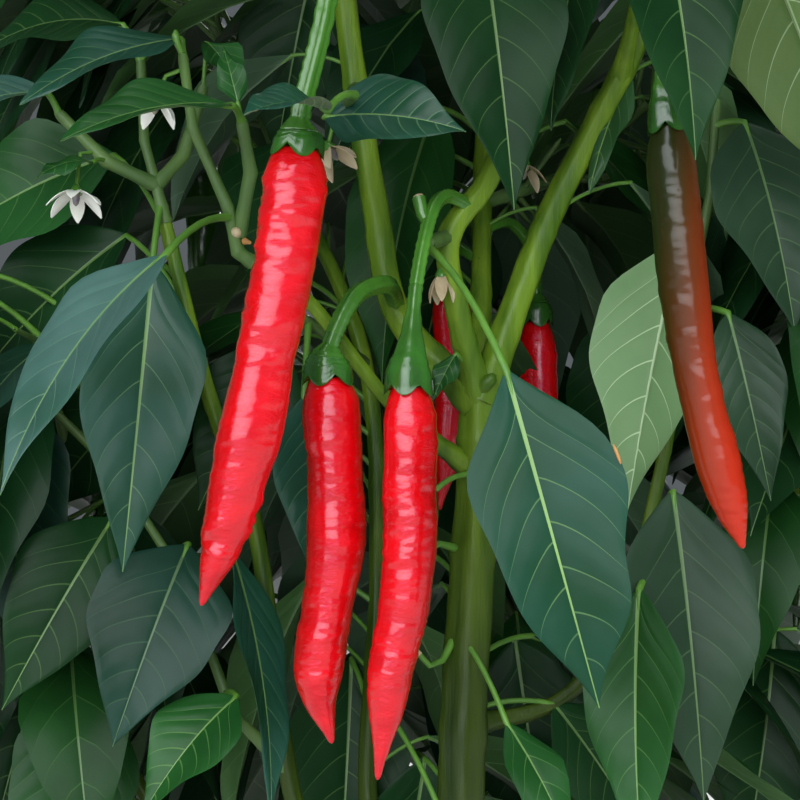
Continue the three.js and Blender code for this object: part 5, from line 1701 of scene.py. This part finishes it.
def dress_sprays(sprays, twigs):
    for order, spray in enumerate(sprays):
        blades = Shape()
        for i, leaf in enumerate(spray["leaves"]):
            is_small = leaf["width"] < SMALL_WIDTH
            make, columns = (SMALL, 7) if is_small else (FINE, 12)
            leaf = {**leaf, "width": leaf["width"] * leaf["wider"]}
            add_blade(blades, leaf, leaf["tint"], make, columns, (order, i))
            if leaf["is_dried"]:
                add_dried_rim(blades, leaf)
            add_petiole(twigs, leaf, 9, PETIOLE_RADIUS * (SMALL_STALK if is_small else 1))
        for branch, run in enumerate(spray["runs"]):
            radii = [TWIG_RADII[min(k, 3)] for k in range(len(run))]
            add_run(twigs, run, radii, spray["start"] if branch == 0 else None)
        blades.build(spray["name"] + "_leaves", "leaf", spray["name"])


def add_grown_leaf(blades, twigs, leaf, seed):
    length = size_of(leaf["tip"] - leaf["base"])
    is_small = length < SMALL_LENGTH
    tint = GROWN_TINTS[int(chance(seed, leaf["spray"], 51) * len(GROWN_TINTS))]
    if length < YOUNG_LENGTH and chance(seed, leaf["key"], 52) < YOUNG_SHARE:
        tint = "young"
    make, columns = (SMALL, 3) if is_small else (GROWN, 4)
    leaf = {**leaf, "fold": leaf["fold"] + MORE_FOLD}
    add_blade(blades, leaf, tint, make, columns, (seed, leaf["key"]))
    add_petiole(twigs, leaf, 6, PETIOLE_RADIUS * (SMALL_STALK if is_small else GROWN_STALK))


# Sides and rings of each kind of pod
POD_FINENESS = (84, 190)
BACK_POD_FINENESS = (40, 80)
HUNG_FINENESS = (20, 44)

GREEN_FRUITED = ("foliage_mid_left", "foliage_mid_right")
RIPE_SHARE = 0.6
GROUP_ENDS = [3, 6, 9, 11, 13, 16]
SPUR_STOPS = (0, 0.5, 0.94, 1.04)
SPUR_SIZES = (1.3, 0.95, 0.85, 0.3)


def dress_mass(mass, blades, twigs, stalks, bodies):
    seed = mass["seed"]
    for points, radii, is_first in mass_runs(mass):
        add_run(twigs, points, radii, mass["start"] if is_first else None)
    for spur in mass["spurs"]:
        add_rod(twigs, [mix(*spur["ends"], t) for t in SPUR_STOPS], SPUR_SIZES, 6, "twig")
    for leaf in mass["leaves"]:
        add_grown_leaf(blades, twigs, leaf, seed)
    for i, grown in enumerate(mass["hung"]):
        is_ripe = chance(seed, i, 53) < RIPE_SHARE and mass["name"] not in GREEN_FRUITED
        paint = "red" if is_ripe else "unripe"
        add_pod(stalks, bodies, grown, HUNG_POD, paint, *HUNG_FINENESS, seed + i)


def dress_masses(masses, twigs):
    stalks, bodies = Shape(), Shape()
    for index, (first, end) in enumerate(zip([0] + GROUP_ENDS, GROUP_ENDS)):
        blades = Shape()
        for mass in masses[first:end]:
            dress_mass(mass, blades, twigs, stalks, bodies)
        blades.build(f"crown_leaves_{index + 1}", "leaf", *[mass["name"] for mass in masses[first:end]])
    return stalks, bodies


SEED_OF_STEM_LEAVES = 61
STEM_STALK = 0.8


def dress_stem_leaves(limb_leaves, twigs):
    blades = Shape()
    for i, leaf in enumerate(STEM_LEAVES):
        make, columns = (SMALL, 6) if leaf["width"] < SMALL_WIDTH else (FINE, 8)
        add_blade(blades, leaf, leaf["tint"], make, columns, (SEED_OF_STEM_LEAVES, i))
        add_petiole(twigs, leaf, 8, PETIOLE_RADIUS * STEM_STALK)
    for leaf in limb_leaves["leaves"]:
        add_grown_leaf(blades, twigs, leaf, limb_leaves["seed"])
    blades.build("stem_leaves", "leaf")


def dress_pods(pods):
    for seed, (name, grown) in enumerate(pods.items()):
        stalk, body = Shape(), Shape()
        is_back, is_turning = name.startswith("back"), name == "four"
        fineness = BACK_POD_FINENESS if is_back else POD_FINENESS
        paint = "turning" if is_turning else "red"
        add_pod(stalk, body, grown, PODS[name], paint, *fineness, seed + 1)
        stalk.build(f"fruit_stalk_{name}", "stalk", *([] if is_back else [f"stalk_{name}"]))
        body.build(f"fruit_{name}", "turning_pod" if is_turning else "red_pod", f"pod_{name}")


def dress_small_things():
    flowers, details = Shape(), Shape()
    for flower in FLOWERS:
        add_flower(flowers, *flower)
    flowers.build("flowers", "leaf")
    for points, radii, paint in DETAILS:
        add_rod(details, [vec(point) for point in points], radii, 10, paint)
    details.build("scars_and_buds", "stem")


def dress():
    limbs, pods, sprays, masses, limb_leaves = grow_plant()
    dress_stems(limbs).build("stems", "stem", *LIMBS)
    twigs = Shape()
    dress_sprays(sprays, twigs)
    stalks, bodies = dress_masses(masses, twigs)
    dress_stem_leaves(limb_leaves, twigs)
    twigs.build("twigs", "stem")
    stalks.build("crown_fruit_stalks", "stalk")
    bodies.build("crown_fruit", "red_pod")
    dress_pods(pods)
    dress_small_things()


# Studio, in metres
CAMERA_LENS = 98.7
SENSOR_WIDTH = 36
LIGHT_SPREAD = 125
SKY_COLOUR = (0.5, 0.56, 0.6, 1)
SKY_STRENGTH = 0.2
FLOOR_REACH = 4.0

# Each light's name, place, what it is turned to, its size, power and colour, and whether gloss shows it
LIGHTS = [
    ("key", (-0.55, -1.75, 1.14), (-0.02, 0, 0.33), (2.9, 2.1), 43, (0.92, 0.97, 1), True),
    ("fill", (1.3, -1.1, 0.75), (0, 0, 0.3), (1.3, 1.3), 7, (0.93, 0.97, 1), False),
    ("top", (0.1, 0.2, 2.0), (0, 0, 0.4), (1.5, 1.5), 17, (0.95, 0.98, 1), True),
    ("back", (0.4, 1.8, 1.2), (0, 0, 0.35), (1.4, 1.4), 12, (0.97, 0.985, 1), True),
]


def place_in_scene(name, data):
    thing = bpy.data.objects.new(name, data)
    bpy.context.scene.collection.objects.link(thing)
    return thing


def make_camera():
    bpy.context.scene.view_settings.view_transform = "Standard"
    data = bpy.data.cameras.new("camera")
    data.lens = CAMERA_LENS
    data.sensor_width = SENSOR_WIDTH
    camera = place_in_scene("camera", data)
    camera.location = CAMERA_PLACE * MM
    camera.rotation_euler = (math.radians(90), 0, 0)
    bpy.context.scene.camera = camera


def add_light(name, place, target, size, power, colour, is_glossy):
    data = bpy.data.lights.new(name, "AREA")
    data.shape = "RECTANGLE"
    data.size, data.size_y = size
    data.spread = math.radians(LIGHT_SPREAD)
    data.energy = power
    data.color = colour
    light = place_in_scene(name, data)
    light.visible_glossy = is_glossy
    light.visible_camera = False
    light.location = place
    light.rotation_euler = (Vector(target) - Vector(place)).to_track_quat("-Z", "Y").to_euler()


def make_studio():
    world = bpy.data.worlds.new("studio")
    world.use_nodes = True
    set_inputs(world.node_tree.nodes["Background"], {"Color": SKY_COLOUR, "Strength": SKY_STRENGTH})
    bpy.context.scene.world = world
    for light in LIGHTS:
        add_light(*light)
    mesh = bpy.data.meshes.new("floor")
    corners = [(-1, -1), (1, -1), (1, 1), (-1, 1)]
    mesh.from_pydata([(x * FLOOR_REACH, y * FLOOR_REACH, 0) for x, y in corners], [], [(0, 1, 2, 3)])
    mesh.materials.append(skin("floor_paint", (0.62, 0.61, 0.58), (0.58, 0.57, 0.55), 0.7, 3, bump=0.05))
    place_in_scene("floor", mesh)


make_camera()
dress()
make_studio()
